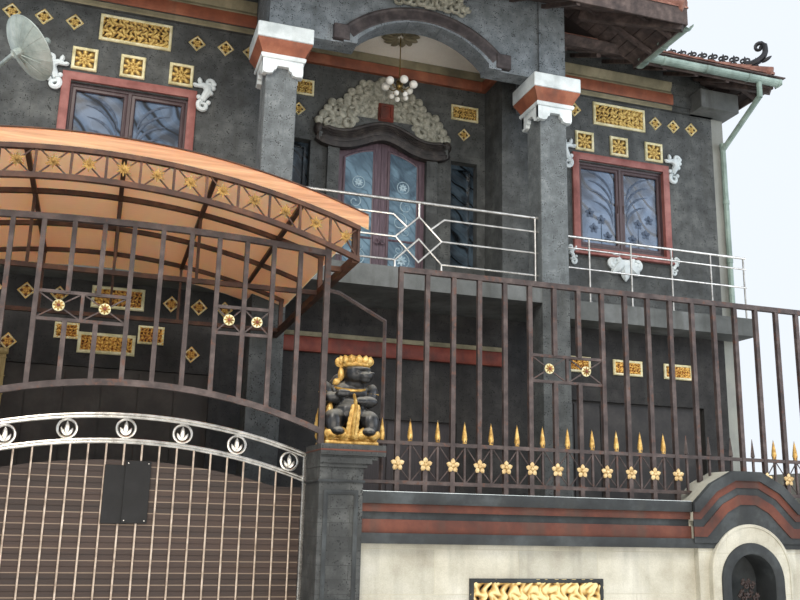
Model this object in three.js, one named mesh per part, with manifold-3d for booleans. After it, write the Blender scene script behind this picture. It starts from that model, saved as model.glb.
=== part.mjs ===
// A two-storey stone-clad Balinese house with its carport canopy, street wall, fence and sliding gate.
// Millimetres, +Z up. The origin is on the ground, on the house's centre line, in the plane of the
// upper street wall. The street side faces -Y.
import * as THREE from 'three';
import { mergeVertices } from 'three/addons/utils/BufferGeometryUtils.js';
import Module from 'manifold-3d';

const wasm = await Module();
wasm.setup();

// House body
const HALF = 5200;
const DEPTH = 8000;
const WALL = 200;
const INNER = HALF - WALL;
const SLAB = 120;
const FLOOR_UNDER = 4110;
const FLOOR = 4360;
const PORCH_HALF = 2100;
const PORCH_FRONT = -1300;
const BALCONY_FRONT = -1100;
const LEDGE_FRONT = -450;

// Doors of the ground storey as [left, right, top], and the painted band over the entrance
const DOORS = [[-4600, -2200, 3120], [-900, 900, 2720], [2200, 4600, 3120]];
const DOOR_Y = [70, 115];
const BAND_Z = [3480, 3860];
const BAND_OUT = 60;

// Recess with the balcony door
const RECESS_HALF = 1540;
const RECESS_DEPTH = 600;
const CEILING = 7900;
const CEILING_THICK = 80;
const LEAF_HALF = 640;
const LEAF_SPRING = 6450;
const LEAF_TOP = 6700;
const SIDE_LIGHT = [1020, 1420, 4960, 6500];
const LAMP_Y = -100;
const LAMP_Z = 7150;

// Columns, capitals and the arched wall they carry
const COLUMN_X = 1750;
const COLUMN_HALF = 185;
const COLUMN_FRONT = -1100;
const BRACKET_Z = 6480;
const BRACKET_TALL = 160;
const BEAM_Z = 7080;
const BEAM_FRONT = -1060;
const BEAM_BACK = -820;
const ARCH_HALF = 860;
const ARCH_FOOT = 7140;
const ARCH_TOP = 7520;
const ARCH_BAND_HALF = 1030;
const ARCH_BAND_TOP = 7710;

// Casement windows of the wings, and the windows of the back wall as [left, right]
const WINDOW_X = 3400;
const WINDOW_Z = 5895;
const OPEN_W = 1400;
const OPEN_H = 1260;
const SURROUND = 90;
const SURROUND_V = 125;
const BACK_WINDOWS = [[-3900, -2500], [2500, 3900]];
const BACK_LOW = [1200, 2500];
const BACK_PANE_HALF = 4000;
const GLASS = 8;

// Roofs: the underside at the eave, the slope and the thickness
const SLOPE = 0.5;
const ROOF_THICK = 160;
const EAVE = 7800;
const ROOF_HALF = 5450;
const ROOF_FRONT = -850;
const ROOF_BACK = 8450;
const MID_EAVE = 7700;
const MID_HALF = 3120;
const MID_FRONT = -2050;
const MID_BACK = 3000;
const WALL_TOP = 9000;
const GUTTER_R = 76;
const GUTTER_SKIN = 9;
const GUTTER_TOP = EAVE;
const SIDE_GUTTER_TOP = MID_EAVE - 10;

// Parts that touch keep this gap
const SEAT = 0.25;

// Railings: heights of the rails
const RAIL_ZS = [5210, 5030, 4755, 4470];
const WING_RAIL_ZS = [5250, 5090, 4820, 4560];
const RAILING_Y = -1000;
const WING_RAILING_Y = -380;
const RAIL = 30;

// Street front
const STREET_Y = -3900;
const POST_X = -1648;
const LEFT_POST_X = -4745;
const POST_HALF = 167;
const POST_DEEP = 225;
const POST_TOP = 2070;
const CAP_SHIFT = 90;
const WALL_FRONT = -4030;
const WALL_BACK = -3780;
const COPING_TOP = 1730;
const NICHE_X = 1935;
const NICHE_R = 230;
const NICHE_FOOT = 420;
const NICHE_SPRING = 1094;
const COLLAR_R = 400;
const COLLAR_TOP = 1558;
const PIER_HALF = 490;
const GABLE_TOP = 2000;
const FENCE_LEFT = -1150;
const FENCE_PITCH = 232;
const FENCE_TOP = 3550;
const GRILLE_LEFT = LEFT_POST_X + 127;
const GRILLE_RIGHT = POST_X - 127;
const GRILLE_FIRST = -1805;
const GRILLE_Y = STREET_Y - 120;
const GRILLE_PITCH = 209;
const STAR_ZS = [2855, 3055];
const FENCE_STAR_ZS = [2690, 2910];

// Carport canopy: arcs share one centre line
const CANOPY_X = -3540;
const CANOPY_LEFT = -5180;
const CANOPY_RIGHT = -1580;
const CANOPY_FRONT = -4400;
const CANOPY_BACK = -700;
const CANOPY_STEPS = 24;
const SHEET_R = 5690;
const SHEET_TOP = 4130;
const SHEET_THICK = 24;
const FASCIA = 100;
const TRUSS_LEFT = CANOPY_LEFT + 40;
const TRUSS_RIGHT = CANOPY_RIGHT - 60;
const TRUSS_DEEP = 40;
const TRUSS_LOW = 3815;
const TRUSS_CELLS = 15;
const RIB_YS = [CANOPY_FRONT + 60, -3200, -2300, -1400];
const RIB_DEEP = 40;
const BEAM_ZS = [3410, 3470];
const BEAM_WIDE = 50;

// Mouldings of the street wall as [how far out, top, foot]
const WALL_MOULDINGS = [[80, COPING_TOP, 1655], [50, 1655, 1590], [25, 1590, 1530], [55, 1530, 1430],
  [75, 1430, 1360]];

// Sliding gate
const GATE_LEFT = -4600;
const GATE_RIGHT = -1780;
const GATE_X = (GATE_LEFT + GATE_RIGHT) / 2;
const GATE_Y = -3580;
const GATE_TOP = 2270;
const GATE_R = 4150;
const GATE_TRAVEL = 2700;
const SLAT_TOP = 1760;
const SLAT_HUMP = 160;
const SLAT_PITCH = 85;

// Colour, roughness and metalness of each finish
const DARK_STONE = [0x3c3f40, 0.8, 0];
const PALE_STONE = [0x5f696c, 0.8, 0];
const POST_STONE = [0x3f4447, 0.8, 0];
const CARVED_STONE = [0x8a8a78, 0.8, 0];
const CONCRETE = [0x8d8f8c, 0.8, 0];
const RENDER = [0x585b5a, 0.8, 0];
const CREAM_PLASTER = [0xcfc9ac, 0.8, 0];
const CLAY_TILE = [0x8a4a3a, 0.8, 0];
const BLACK_CLAY = [0x1a1a1c, 0.8, 0];
const BLACK_STONE = [0x2a2b2d, 0.5, 0];
const TERRACOTTA = [0xa2564f, 0.8, 0];
const DARK_WOOD = [0x4a3638, 0.8, 0];
const SLAT_WOOD = [0x5a4038, 0.7, 0];
const CLEAR_GLASS = [0x6f8a96, 0.1, 0];
const LAMP_GLASS = [0xe8e4d8, 0.4, 0];
const GUTTER_PAINT = [0x7f9690, 0.5, 0];
const DISH_PAINT = [0x9aa6a0, 0.5, 0];
const DARK_STEEL = [0x2c2a2a, 0.8, 0];
const TRACK_STEEL = [0x6a6a66, 0.5, 1];
const RUSTY_STEEL = [0x6a4c40, 0.6, 0.4];
const COPPER_SHEET = [0xd9a070, 0.35, 0.6];
const STAINLESS = [0xc9cdd0, 0.3, 1];

const group = new THREE.Group();

function solid(geometry) {
  geometry.deleteAttribute('normal');
  geometry.deleteAttribute('uv');
  const merged = mergeVertices(geometry, 1e-3);
  const vertProperties = new Float32Array(merged.attributes.position.array);
  const triVerts = new Uint32Array(merged.index.array);
  return new wasm.Manifold(new wasm.Mesh({ numProp: 3, vertProperties, triVerts }));
}

function addNode(name, body, [color, roughness, metalness]) {
  const mesh = body.getMesh();
  const positions = new THREE.BufferAttribute(new Float32Array(mesh.vertProperties), 3);
  const geometry = new THREE.BufferGeometry();
  geometry.setAttribute('position', positions);
  geometry.setIndex(new THREE.BufferAttribute(new Uint32Array(mesh.triVerts), 1));
  geometry.computeVertexNormals();
  const node = new THREE.Mesh(geometry, new THREE.MeshStandardMaterial({ color, roughness, metalness }));
  node.name = name;
  group.add(node);
}

function joined(parts) {
  return parts.reduce((whole, piece) => whole.add(piece));
}

function cutBy(body, cuts) {
  return cuts.reduce((rest, cut) => rest.subtract(cut), body);
}

// A list made by calling a function with 0, 1, 2, ...
function series(count, make) {
  return Array.from({ length: count }, (unused, i) => make(i));
}

// A box between two places on each axis
function box(x0, x1, y0, y1, z0, z1) {
  const geometry = new THREE.BoxGeometry(x1 - x0, y1 - y0, z1 - z0);
  geometry.translate((x0 + x1) / 2, (y0 + y1) / 2, (z0 + z1) / 2);
  return solid(geometry);
}

function extruded(points, depth) {
  const shape = new THREE.Shape(points.map(([a, b]) => new THREE.Vector2(a, b)));
  return new THREE.ExtrudeGeometry(shape, { depth, bevelEnabled: false });
}

// An outline in X and Z, carried along Y
function acrossY(points, y0, y1) {
  const geometry = extruded(points, y1 - y0);
  geometry.rotateX(Math.PI / 2);
  geometry.translate(0, y1, 0);
  return solid(geometry);
}

// An outline in Y and Z, carried along X
function acrossX(points, x0, x1) {
  const geometry = extruded(points, x1 - x0);
  geometry.applyMatrix4(new THREE.Matrix4().makeBasis(
    new THREE.Vector3(0, 1, 0), new THREE.Vector3(0, 0, 1), new THREE.Vector3(1, 0, 0)));
  geometry.translate(x0, 0, 0);
  return solid(geometry);
}

// An outline in X and Y, carried up Z
function upright(points, z0, z1) {
  const geometry = extruded(points, z1 - z0);
  geometry.translate(0, 0, z0);
  return solid(geometry);
}

// A straight bar of square section between two points
function bar(from, to, wide) {
  const a = new THREE.Vector3(...from);
  const b = new THREE.Vector3(...to);
  const along = b.clone().sub(a);
  const geometry = new THREE.BoxGeometry(wide, wide, along.length());
  const side = new THREE.Vector3(0, 1, 0);
  const zAxis = along.clone().normalize();
  const xAxis = side.clone().cross(zAxis).normalize();
  const yAxis = zAxis.clone().cross(xAxis);
  geometry.applyMatrix4(new THREE.Matrix4().makeBasis(xAxis, yAxis, zAxis));
  const mid = a.add(b).multiplyScalar(0.5);
  geometry.translate(mid.x, mid.y, mid.z);
  return solid(geometry);
}

// A round rod between two points
function rod(from, to, radius, sides = 8) {
  const a = new THREE.Vector3(...from);
  const b = new THREE.Vector3(...to);
  const along = b.clone().sub(a);
  const geometry = new THREE.CylinderGeometry(radius, radius, along.length(), sides);
  const up = new THREE.Vector3(0, 1, 0);
  geometry.applyQuaternion(new THREE.Quaternion().setFromUnitVectors(up, along.clone().normalize()));
  const mid = a.add(b).multiplyScalar(0.5);
  geometry.translate(mid.x, mid.y, mid.z);
  return solid(geometry);
}

// An ellipsoid with its centre and its half sizes
function ball(x, y, z, rx, ry, rz, sides = 10) {
  const geometry = new THREE.SphereGeometry(1, sides, Math.round(sides * 0.7));
  geometry.scale(rx, rz, ry);
  geometry.rotateX(Math.PI / 2);
  geometry.translate(x, y, z);
  return solid(geometry);
}

// Height at px of an arc whose top is at (x, top)
function arcHeight(x, top, radius, px) {
  return top - radius + Math.sqrt(radius * radius - (px - x) ** 2);
}

function arcPoints(x, top, radius, x0, x1, steps) {
  return series(steps + 1, i => {
    const px = x0 + (x1 - x0) * i / steps;
    return [px, arcHeight(x, top, radius, px)];
  });
}

// A curved bar under such an arc: deep is its size below the arc
function arcBar(x, top, radius, deep, x0, x1, y0, y1, steps) {
  const upper = arcPoints(x, top, radius, x0, x1, steps);
  const lower = arcPoints(x, top - deep, radius, x1, x0, steps);
  return acrossY([...upper, ...lower], y0, y1);
}

// Radius of the arc that spans 2 * half with the given rise
function arcRadius(half, rise) {
  return (half * half + rise * rise) / (2 * rise);
}

// A wall along X with box-shaped openings [x0, x1, z0, z1] cut right through
function pierced(wall, openings, y0, y1) {
  const past = 50;
  return cutBy(wall, openings.map(([x0, x1, z0, z1]) => box(x0, x1, y0 - past, y1 + past, z0, z1)));
}

// A hip-roof hat: vertical sides from low to eave, then slopes up to the ridge
function hat(half, y0, y1, low, eave, ridgeAlongY) {
  const run = ridgeAlongY ? half : Math.min(half, (y1 - y0) / 2);
  const top = eave + run * SLOPE;
  const ridge = ridgeAlongY
    ? [[0, y0 + half, top], [0, y1, top]]
    : [[-half + run, (y0 + y1) / 2, top], [half - run, (y0 + y1) / 2, top]];
  const ring = z => [[-half, y0, z], [half, y0, z], [half, y1, z], [-half, y1, z]];
  const points = [...ring(low), ...ring(eave), ...ridge];
  const quads = [[3, 2, 1, 0], [0, 1, 5, 4], [1, 2, 6, 5], [2, 3, 7, 6], [3, 0, 4, 7]];
  const faces = ridgeAlongY
    ? [[4, 5, 8], [5, 6, 9, 8], [6, 7, 9], [7, 4, 8, 9]]
    : [[4, 5, 9, 8], [5, 6, 9], [6, 7, 8, 9], [7, 4, 8]];
  const index = [...quads, ...faces].flatMap(face =>
    face.length === 3 ? face : [face[0], face[1], face[2], face[0], face[2], face[3]]);
  const geometry = new THREE.BufferGeometry();
  geometry.setAttribute('position', new THREE.Float32BufferAttribute(points.flat(), 3));
  geometry.setIndex(index);
  return solid(geometry);
}

function midHat(low, eave) {
  return hat(MID_HALF, MID_FRONT, MID_BACK, low, eave, true);
}

function mainHat(low, eave) {
  return hat(ROOF_HALF, ROOF_FRONT, ROOF_BACK, low, eave, false);
}

// Cuts a wall to the slope of the main roof's underside
function underRoof(wall) {
  return wall.intersect(mainHat(-SLAB, EAVE - SEAT));
}

// Leaves only what stands on the main roof's tiles
function onRoof(body) {
  return body.subtract(mainHat(0, EAVE + ROOF_THICK + SEAT));
}

function addRoofs() {
  const reach = COLUMN_X + COLUMN_HALF + SEAT;
  const porch = box(-reach, reach, MID_FRONT, 0, MID_EAVE, WALL_TOP);
  const mainShell = mainHat(EAVE, EAVE + ROOF_THICK).subtract(mainHat(0, EAVE));
  addNode('main_roof', mainShell.subtract(porch), CLAY_TILE);
  const midShell = midHat(MID_EAVE, MID_EAVE + ROOF_THICK).subtract(midHat(0, MID_EAVE));
  addNode('centre_roof', onRoof(midShell), CLAY_TILE);
}

// Toothed crests up the two front hips, each with a curled end at the eave
function addHipCrests() {
  const thick = 70;
  const length = 4500;
  const tall = 120;
  const teeth = 22;
  const run = 130;
  const rise = s => s * SLOPE / Math.SQRT2;
  const toothed = series(teeth + 1, i => {
    const s = length * (1 - i / teeth);
    return [s, rise(s) + (i % 2 ? tall : tall * 0.6)];
  });
  const curl = [[-60, -20], [60, -40], [150, 60], [190, 190], [150, 300], [60, 350], [-20, 300], [-30, 220],
    [40, 200], [60, 250], [110, 220], [100, 130], [20, 90], [-60, 60]];
  const outward = curl.map(([a, b]) => [40 - a, b]).reverse();
  const strip = [[0, 0], [length, rise(length)], ...toothed];
  const flat = acrossY(strip, -thick / 2, thick / 2).add(acrossY(outward, -thick / 2, thick / 2));
  for (const [name, side, turn] of [['crest_left', -1, 45], ['crest_right', 1, 135]]) {
    const place = [side * (ROOF_HALF - run), ROOF_FRONT + run, EAVE + ROOF_THICK + run * SLOPE + 1];
    addNode(name, onRoof(flat.rotate([0, 0, turn]).translate(place)), BLACK_CLAY);
  }
}

// The ridge cap with a finial at each end
function addRidgeCrest() {
  const run = (ROOF_BACK - ROOF_FRONT) / 2;
  const y = (ROOF_FRONT + ROOF_BACK) / 2;
  const half = ROOF_HALF - run;
  const top = EAVE + ROOF_THICK + run * SLOPE;
  const cap = box(-half - 60, half + 60, y - 90, y + 90, top - 60, top + 150);
  const finials = [-half, half].map(x => box(x - 70, x + 70, y - 70, y + 70, top + 100, top + 420));
  addNode('ridge_crest', onRoof(joined([cap, ...finials])), BLACK_CLAY);
}

// Section of a half-round gutter
function channel(middle, top) {
  const steps = 8;
  const curve = (radius, i) => {
    const a = Math.PI + Math.PI * i / steps;
    return [middle + radius * Math.cos(a), top + radius * Math.sin(a)];
  };
  const outer = series(steps + 1, i => curve(GUTTER_R, i));
  const inner = series(steps + 1, i => curve(GUTTER_R - GUTTER_SKIN, steps - i));
  return [...outer, ...inner];
}

// A front gutter, the side gutter of the centre roof that runs into it, and a downpipe at the corner
function addGutters() {
  const r = GUTTER_R;
  const plate = 10;
  const pipeR = 40;
  const top = GUTTER_TOP;
  const sideTop = SIDE_GUTTER_TOP;
  const y = ROOF_FRONT - r;
  const x = MID_HALF + r;
  const end = ROOF_HALF + 40;
  const pipeX = HALF - 60;
  const clip = box(x + 80, end, ROOF_FRONT - plate, ROOF_FRONT, top - 30, top + 50);
  const lengthwise = joined([acrossX(channel(y, top), x - 40, end), clip,
    box(end - plate, end, y - r, y + r, top - r, top)]);
  const across = acrossY(channel(x, sideTop), MID_FRONT + 40, y + 60)
    .add(box(MID_HALF, MID_HALF + plate, MID_FRONT + 40, y - r, sideTop - 30, sideTop + 30));
  const outlet = box(x - 50, x + 50, y - 40, y + 40, sideTop - r + 4, top - r + 30);
  const pipe = joined([rod([pipeX, y, top - r + 12], [pipeX, y, top - 300], pipeR),
    rod([pipeX, y, top - 280], [pipeX, -70, top - 760], pipeR),
    rod([pipeX, -60, top - 720], [pipeX, -60, FLOOR + 2], pipeR)]);
  const whole = joined([lengthwise, across, outlet, pipe]);
  addNode('gutter_right', whole, GUTTER_PAINT);
  addNode('gutter_left', whole.mirror([1, 0, 0]), GUTTER_PAINT);
}

// The floor slab with the porch, and the upper slab, which the columns pass through in slots
function addSlabs() {
  const porch = [[-HALF, 0], [-PORCH_HALF, 0], [-PORCH_HALF, PORCH_FRONT], [PORCH_HALF, PORCH_FRONT],
    [PORCH_HALF, 0], [HALF, 0], [HALF, DEPTH], [-HALF, DEPTH]];
  addNode('floor_slab', upright(porch, 0, SLAB), CONCRETE);
  const near = COLUMN_X - COLUMN_HALF;
  const far = COLUMN_X + COLUMN_HALF;
  const slot = COLUMN_FRONT + 2 * COLUMN_HALF;
  const rightHalf = [[near, BALCONY_FRONT], [near, slot], [far, slot], [far, LEDGE_FRONT],
    [HALF, LEDGE_FRONT], [HALF, 0], [INNER, 0], [INNER, DEPTH - WALL]];
  const leftHalf = rightHalf.map(([x, y]) => [-x, y]).reverse();
  addNode('upper_slab', upright([...leftHalf, ...rightHalf], FLOOR_UNDER, FLOOR), CONCRETE);
}

function addGroundFront() {
  const holes = DOORS.map(([x0, x1, top]) => [x0, x1, 0, top]);
  const wall = pierced(box(-INNER, INNER, 0, WALL, SLAB, FLOOR_UNDER), holes, 0, WALL);
  const band = box(-RECESS_HALF, RECESS_HALF, -BAND_OUT, WALL / 2, BAND_Z[0], BAND_Z[1]);
  addNode('ground_front_wall', wall.add(band), DARK_STONE);
}

// The stepped band under the eaves of a wing
function cornice() {
  const from = COLUMN_X + COLUMN_HALF;
  const lower = box(from, INNER, -55, 10, EAVE - 270, EAVE + 170);
  return lower.add(box(from, INNER, -90, -50, EAVE - 200, EAVE - 30));
}

function addUpperFront() {
  const hole = [WINDOW_X - OPEN_W / 2, WINDOW_X + OPEN_W / 2, WINDOW_Z - OPEN_H / 2, WINDOW_Z + OPEN_H / 2];
  const wall = pierced(box(RECESS_HALF, INNER, 0, WALL, FLOOR, WALL_TOP), [hole], 0, WALL);
  const wing = underRoof(wall.add(cornice()));
  addNode('upper_wall_right', wing, DARK_STONE);
  addNode('upper_wall_left', wing.mirror([1, 0, 0]), DARK_STONE);
}

function addSideAndBackWalls() {
  const side = underRoof(box(INNER, HALF, 0, DEPTH, SLAB, WALL_TOP));
  addNode('side_wall_right', side, RENDER);
  addNode('side_wall_left', side.mirror([1, 0, 0]), RENDER);
  const y0 = DEPTH - WALL;
  const storeys = [BACK_LOW, [WINDOW_Z - OPEN_H / 2, WINDOW_Z + OPEN_H / 2]];
  const holes = BACK_WINDOWS.flatMap(([x0, x1]) => storeys.map(([z0, z1]) => [x0, x1, z0, z1]));
  const back = pierced(box(-INNER, INNER, y0, DEPTH, SLAB, WALL_TOP), holes, y0, DEPTH);
  addNode('back_wall', underRoof(back), RENDER);
  const pane = (z0, z1) => box(-BACK_PANE_HALF, BACK_PANE_HALF, y0 - GLASS, y0, z0, z1);
  addNode('back_glass_lower', pane(BACK_LOW[0] - 100, BACK_LOW[1] + 100), CLEAR_GLASS);
  addNode('back_glass_upper', pane(WINDOW_Z - 700, WINDOW_Z + 700), CLEAR_GLASS);
}

// Outline of a door with an arched head
function doorOutline(half, spring, top, foot) {
  const head = arcPoints(0, top, arcRadius(half, top - spring), half, -half, 12);
  return [[-half, foot], [half, foot], ...head];
}

function addRecess() {
  const y0 = RECESS_DEPTH;
  const y1 = RECESS_DEPTH + WALL;
  const outer = RECESS_HALF + WALL;
  const top = CEILING + CEILING_THICK;
  const back = box(-outer, outer, y0, y1, FLOOR, top);
  const cheek = box(RECESS_HALF, outer, WALL, y0 + 10, FLOOR, top);
  const doorway = acrossY(doorOutline(LEAF_HALF, LEAF_SPRING, LEAF_TOP, FLOOR - 20), y0 - 50, y1 + 50);
  const [x0, x1, z0, z1] = SIDE_LIGHT;
  const shell = joined([back, cheek, cheek.mirror([1, 0, 0])]);
  const walls = pierced(shell, [[x0, x1, z0, z1], [-x1, -x0, z0, z1]], y0, y1);
  addNode('recess_wall', walls.subtract(doorway), DARK_STONE);
  const ceiling = upright([[-COLUMN_X, BEAM_BACK], [COLUMN_X, BEAM_BACK], [COLUMN_X, 0], [RECESS_HALF, 0],
    [RECESS_HALF, y0], [-RECESS_HALF, y0], [-RECESS_HALF, 0], [-COLUMN_X, 0]], CEILING, top);
  const rose = rod([0, LAMP_Y, CEILING - 30], [0, LAMP_Y, CEILING + 10], 170, 16);
  addNode('portico_ceiling', ceiling.add(rose), CREAM_PLASTER);
  const pane = box(-RECESS_HALF, RECESS_HALF, y1, y1 + GLASS, FLOOR + 100, LEAF_TOP + 100);
  const sash = 60;
  const light = pierced(box(x0, x1, y1 - sash, y1 + 2, z0, z1),
    [[x0 + sash, x1 - sash, z0 + sash, z1 - sash]], y0, y1 - 49);
  addNode('recess_glass', joined([pane, light, light.mirror([1, 0, 0])]), CLEAR_GLASS);
}

// Two leaves in one plate: a groove between them, a glazed opening and a raised panel in each
function addBalconyDoor() {
  const y = RECESS_DEPTH;
  const outline = doorOutline(LEAF_HALF - SEAT, LEAF_SPRING - SEAT, LEAF_TOP - SEAT, FLOOR);
  const plate = acrossY(outline, y + 50, y + 110);
  const middles = [-LEAF_HALF / 2, LEAF_HALF / 2];
  const holes = middles.map(x => box(x - 165, x + 165, y, y + WALL, FLOOR + 950, FLOOR + 1950));
  const groove = box(-4, 4, y, y + 60, FLOOR - 10, LEAF_TOP + 100);
  const panels = middles.map(x => box(x - 170, x + 170, y + 35, y + 60, FLOOR + 150, FLOOR + 800));
  addNode('balcony_door', joined([cutBy(plate, [...holes, groove]), ...panels]), DARK_WOOD);
}

// Moulded stone round the door, with plinths, a stepped head and a crown of carved leaves
function addDoorSurround() {
  const y = RECESS_DEPTH;
  const wide = LEAF_HALF + 150;
  const outer = acrossY(doorOutline(wide, LEAF_SPRING + 60, LEAF_TOP + 160, FLOOR), y - 70, y);
  const opening = doorOutline(LEAF_HALF - 10, LEAF_SPRING, LEAF_TOP - 10, FLOOR - 20);
  const plinths = [-wide, wide].map(x => box(x - 150, x + 150, y - 90, y, FLOOR, FLOOR + 260));
  const rightHead = [[420, 6650], [560, 6500], [930, 6480], [930, 6600], [600, 6640], [400, 6900]];
  const leftHead = rightHead.map(([x, z]) => [-x, z]).reverse();
  const head = acrossY([...rightHead, ...leftHead], y - 110, y);
  const surround = joined([outer, ...plinths, head]).subtract(acrossY(opening, y - 100, y + 20));
  addNode('door_surround', surround, PALE_STONE);
  const lobes = [[120, 7350, 150], [300, 7220, 160], [480, 7060, 160], [660, 6900, 150], [840, 6760, 120]];
  const allLobes = [[0, 7440, 150], ...lobes, ...lobes.map(([x, z, r]) => [-x, z, r])];
  const leaves = allLobes.map(([x, z, r]) => rod([x, y - 100, z], [x, y, z], r, 9));
  const core = acrossY([[-840, 6620], [840, 6620], [300, 7300], [-300, 7300]], y - 80, y);
  const below = box(-600, 600, y - 300, y + 10, 6400, LEAF_TOP);
  const clear = joined([surround, surround.translate([0, 0, 2 * SEAT]), below]);
  addNode('door_crown', joined([core, ...leaves]).subtract(clear), CARVED_STONE);
}

// The stepped notch in the middle of each side of a capital's bracket
function notch(middle) {
  const rightHalf = [[125, -5], [105, 50], [80, 60], [65, 105]];
  const leftHalf = rightHalf.map(([a, b]) => [-a, b]).reverse();
  return [...rightHalf, ...leftHalf].map(([a, b]) => [middle + a, BRACKET_Z + b]);
}

// A column with its plinth and a capital: notched bracket, four growing steps and a slab
function addColumn(name, x) {
  const h = COLUMN_HALF;
  const y = COLUMN_FRONT + h;
  const ring = (grow, z0, z1) => box(x - h - grow, x + h + grow, y - h - grow, y + h + grow, z0, z1);
  const top = BRACKET_Z + BRACKET_TALL;
  const out = 55;
  const notches = [acrossY(notch(x), y - h - 60, 0), acrossX(notch(y), x - 300, x + 300)];
  const block = cutBy(ring(out, BRACKET_Z, top), notches);
  const steps = [[40, 6710, 6764], [70, 6760, 6804], [100, 6800, 6844], [125, 6840, 6884]];
  const parts = [[0, SLAB, top], [60, SLAB, SLAB + 400], [out, top - 5, 6680], [75, 6676, 6714], ...steps,
    [145, 6880, BEAM_Z]];
  addNode(name, joined([block, ...parts.map(([grow, z0, z1]) => ring(grow, z0, z1))]), PALE_STONE);
}

// The wall over the columns: an arch with a raised band, two side walls back to the house
function addPorticoWall() {
  const slopeTop = y => MID_EAVE + (y - MID_FRONT) * SLOPE - SEAT;
  const outer = COLUMN_X + COLUMN_HALF;
  const top = slopeTop(BEAM_FRONT);
  const archR = arcRadius(ARCH_HALF, ARCH_TOP - ARCH_FOOT);
  const arch = acrossY([[-ARCH_HALF, BEAM_Z - 50], [ARCH_HALF, BEAM_Z - 50],
    ...arcPoints(0, ARCH_TOP, archR, ARCH_HALF, -ARCH_HALF, 16)], BEAM_FRONT - 100, BEAM_BACK + 100);
  const bandR = arcRadius(ARCH_BAND_HALF, 430);
  const bandArc = arcPoints(0, ARCH_BAND_TOP, bandR, ARCH_BAND_HALF, -ARCH_BAND_HALF, 18);
  const band = acrossY([[-ARCH_BAND_HALF, BEAM_Z], [ARCH_BAND_HALF, BEAM_Z], ...bandArc], BEAM_FRONT - 45,
    BEAM_FRONT + 20);
  const front = box(-outer, outer, BEAM_FRONT, BEAM_BACK, BEAM_Z, top).add(band).subtract(arch);
  const strips = [-COLUMN_X, COLUMN_X].map(x => box(x - COLUMN_HALF, x + COLUMN_HALF, COLUMN_FRONT,
    BEAM_FRONT + 20, BEAM_Z, slopeTop(COLUMN_FRONT)));
  const side = box(COLUMN_X, outer, BEAM_BACK - 20, 0, BEAM_Z, top);
  addNode('portico_wall', joined([front, ...strips, side, side.mirror([1, 0, 0])]), PALE_STONE);
}

// Casements: a frame with two openings in the wall, a broad painted surround on its face, one pane behind
function addWindow(side, x) {
  const w = OPEN_W / 2;
  const h = OPEN_H / 2;
  const depth = 70;
  const lap = 12;
  const sills = [WINDOW_Z - 505, WINDOW_Z + 515];
  const casements = [[x - 585, x - 75, ...sills], [x + 75, x + 585, ...sills]];
  const frame = pierced(box(x - w, x + w, -5, depth, WINDOW_Z - h, WINDOW_Z + h), casements, 0, depth);
  const around = (dx, dz, y0, y1) =>
    box(x - w - dx, x + w + dx, y0, y1, WINDOW_Z - h - dz, WINDOW_Z + h + dz);
  const ring = around(SURROUND, SURROUND_V, -45, 0).subtract(around(-lap, -lap, -50, 50));
  addNode(`window_${side}`, frame.add(ring), TERRACOTTA);
  const pane = box(x - w + 30, x + w - 30, depth, depth + 6, WINDOW_Z - h + 30, WINDOW_Z + h - 30);
  addNode(`window_glass_${side}`, pane, CLEAR_GLASS);
}

// Four rails and a motif of crossed bars in the middle
function addBalconyRailing() {
  const y = RAILING_Y;
  const half = COLUMN_X - COLUMN_HALF;
  const gap = 290;
  const [top, high, middle, low] = RAIL_ZS;
  const rails = RAIL_ZS.map(z => bar([-half, y, z], [half, y, z], z === top ? 40 : RAIL));
  const posts = [40 - half, -gap, gap, half - 40].map(x => bar([x, y, FLOOR], [x, y, top], RAIL));
  const diamond = [[-gap, middle, 0, high], [0, high, gap, middle], [gap, middle, 0, low],
    [0, low, -gap, middle]];
  const motif = [...diamond, [-gap, low, 0, middle], [0, middle, gap, low]];
  const braces = motif.map(([x0, z0, x1, z1]) => bar([x0, y, z0], [x1, y, z1], RAIL * 0.75));
  addNode('balcony_railing', joined([...rails, ...posts, ...braces]), STAINLESS);
}

function addWingRailings() {
  const y = WING_RAILING_Y;
  const left = COLUMN_X + COLUMN_HALF + 30;
  const right = HALF - 60;
  const spots = [...series(5, i => left + 30 + 640 * i), right - 30];
  const bars = WING_RAIL_ZS.map(z => bar([left, y, z], [right, y, z], RAIL));
  const stakes = spots.map(x => bar([x, y, FLOOR], [x, y, WING_RAIL_ZS[0]], RAIL));
  const wing = joined([...bars, ...stakes]);
  addNode('wing_railing_right', wing, STAINLESS);
  addNode('wing_railing_left', wing.mirror([1, 0, 0]), STAINLESS);
}

// Ground-floor doors, each one panel with grooves between its leaves
function addGroundDoors() {
  const names = ['folding_door_left', 'entrance_door', 'folding_door_right'];
  const [y0, y1] = DOOR_Y;
  DOORS.forEach(([x0, x1, top], n) => {
    const leaves = names[n] === 'entrance_door' ? 2 : 6;
    const width = (x1 - x0) / leaves;
    const grooves = series(leaves - 1, i => {
      const x = x0 + width * (i + 1);
      return box(x - 8, x + 8, y0 - 10, y0 + 20, SLAB + 40, top - 40);
    });
    addNode(names[n], cutBy(box(x0, x1, y0, y1, SLAB, top), grooves), DARK_STEEL);
  });
}

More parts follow.
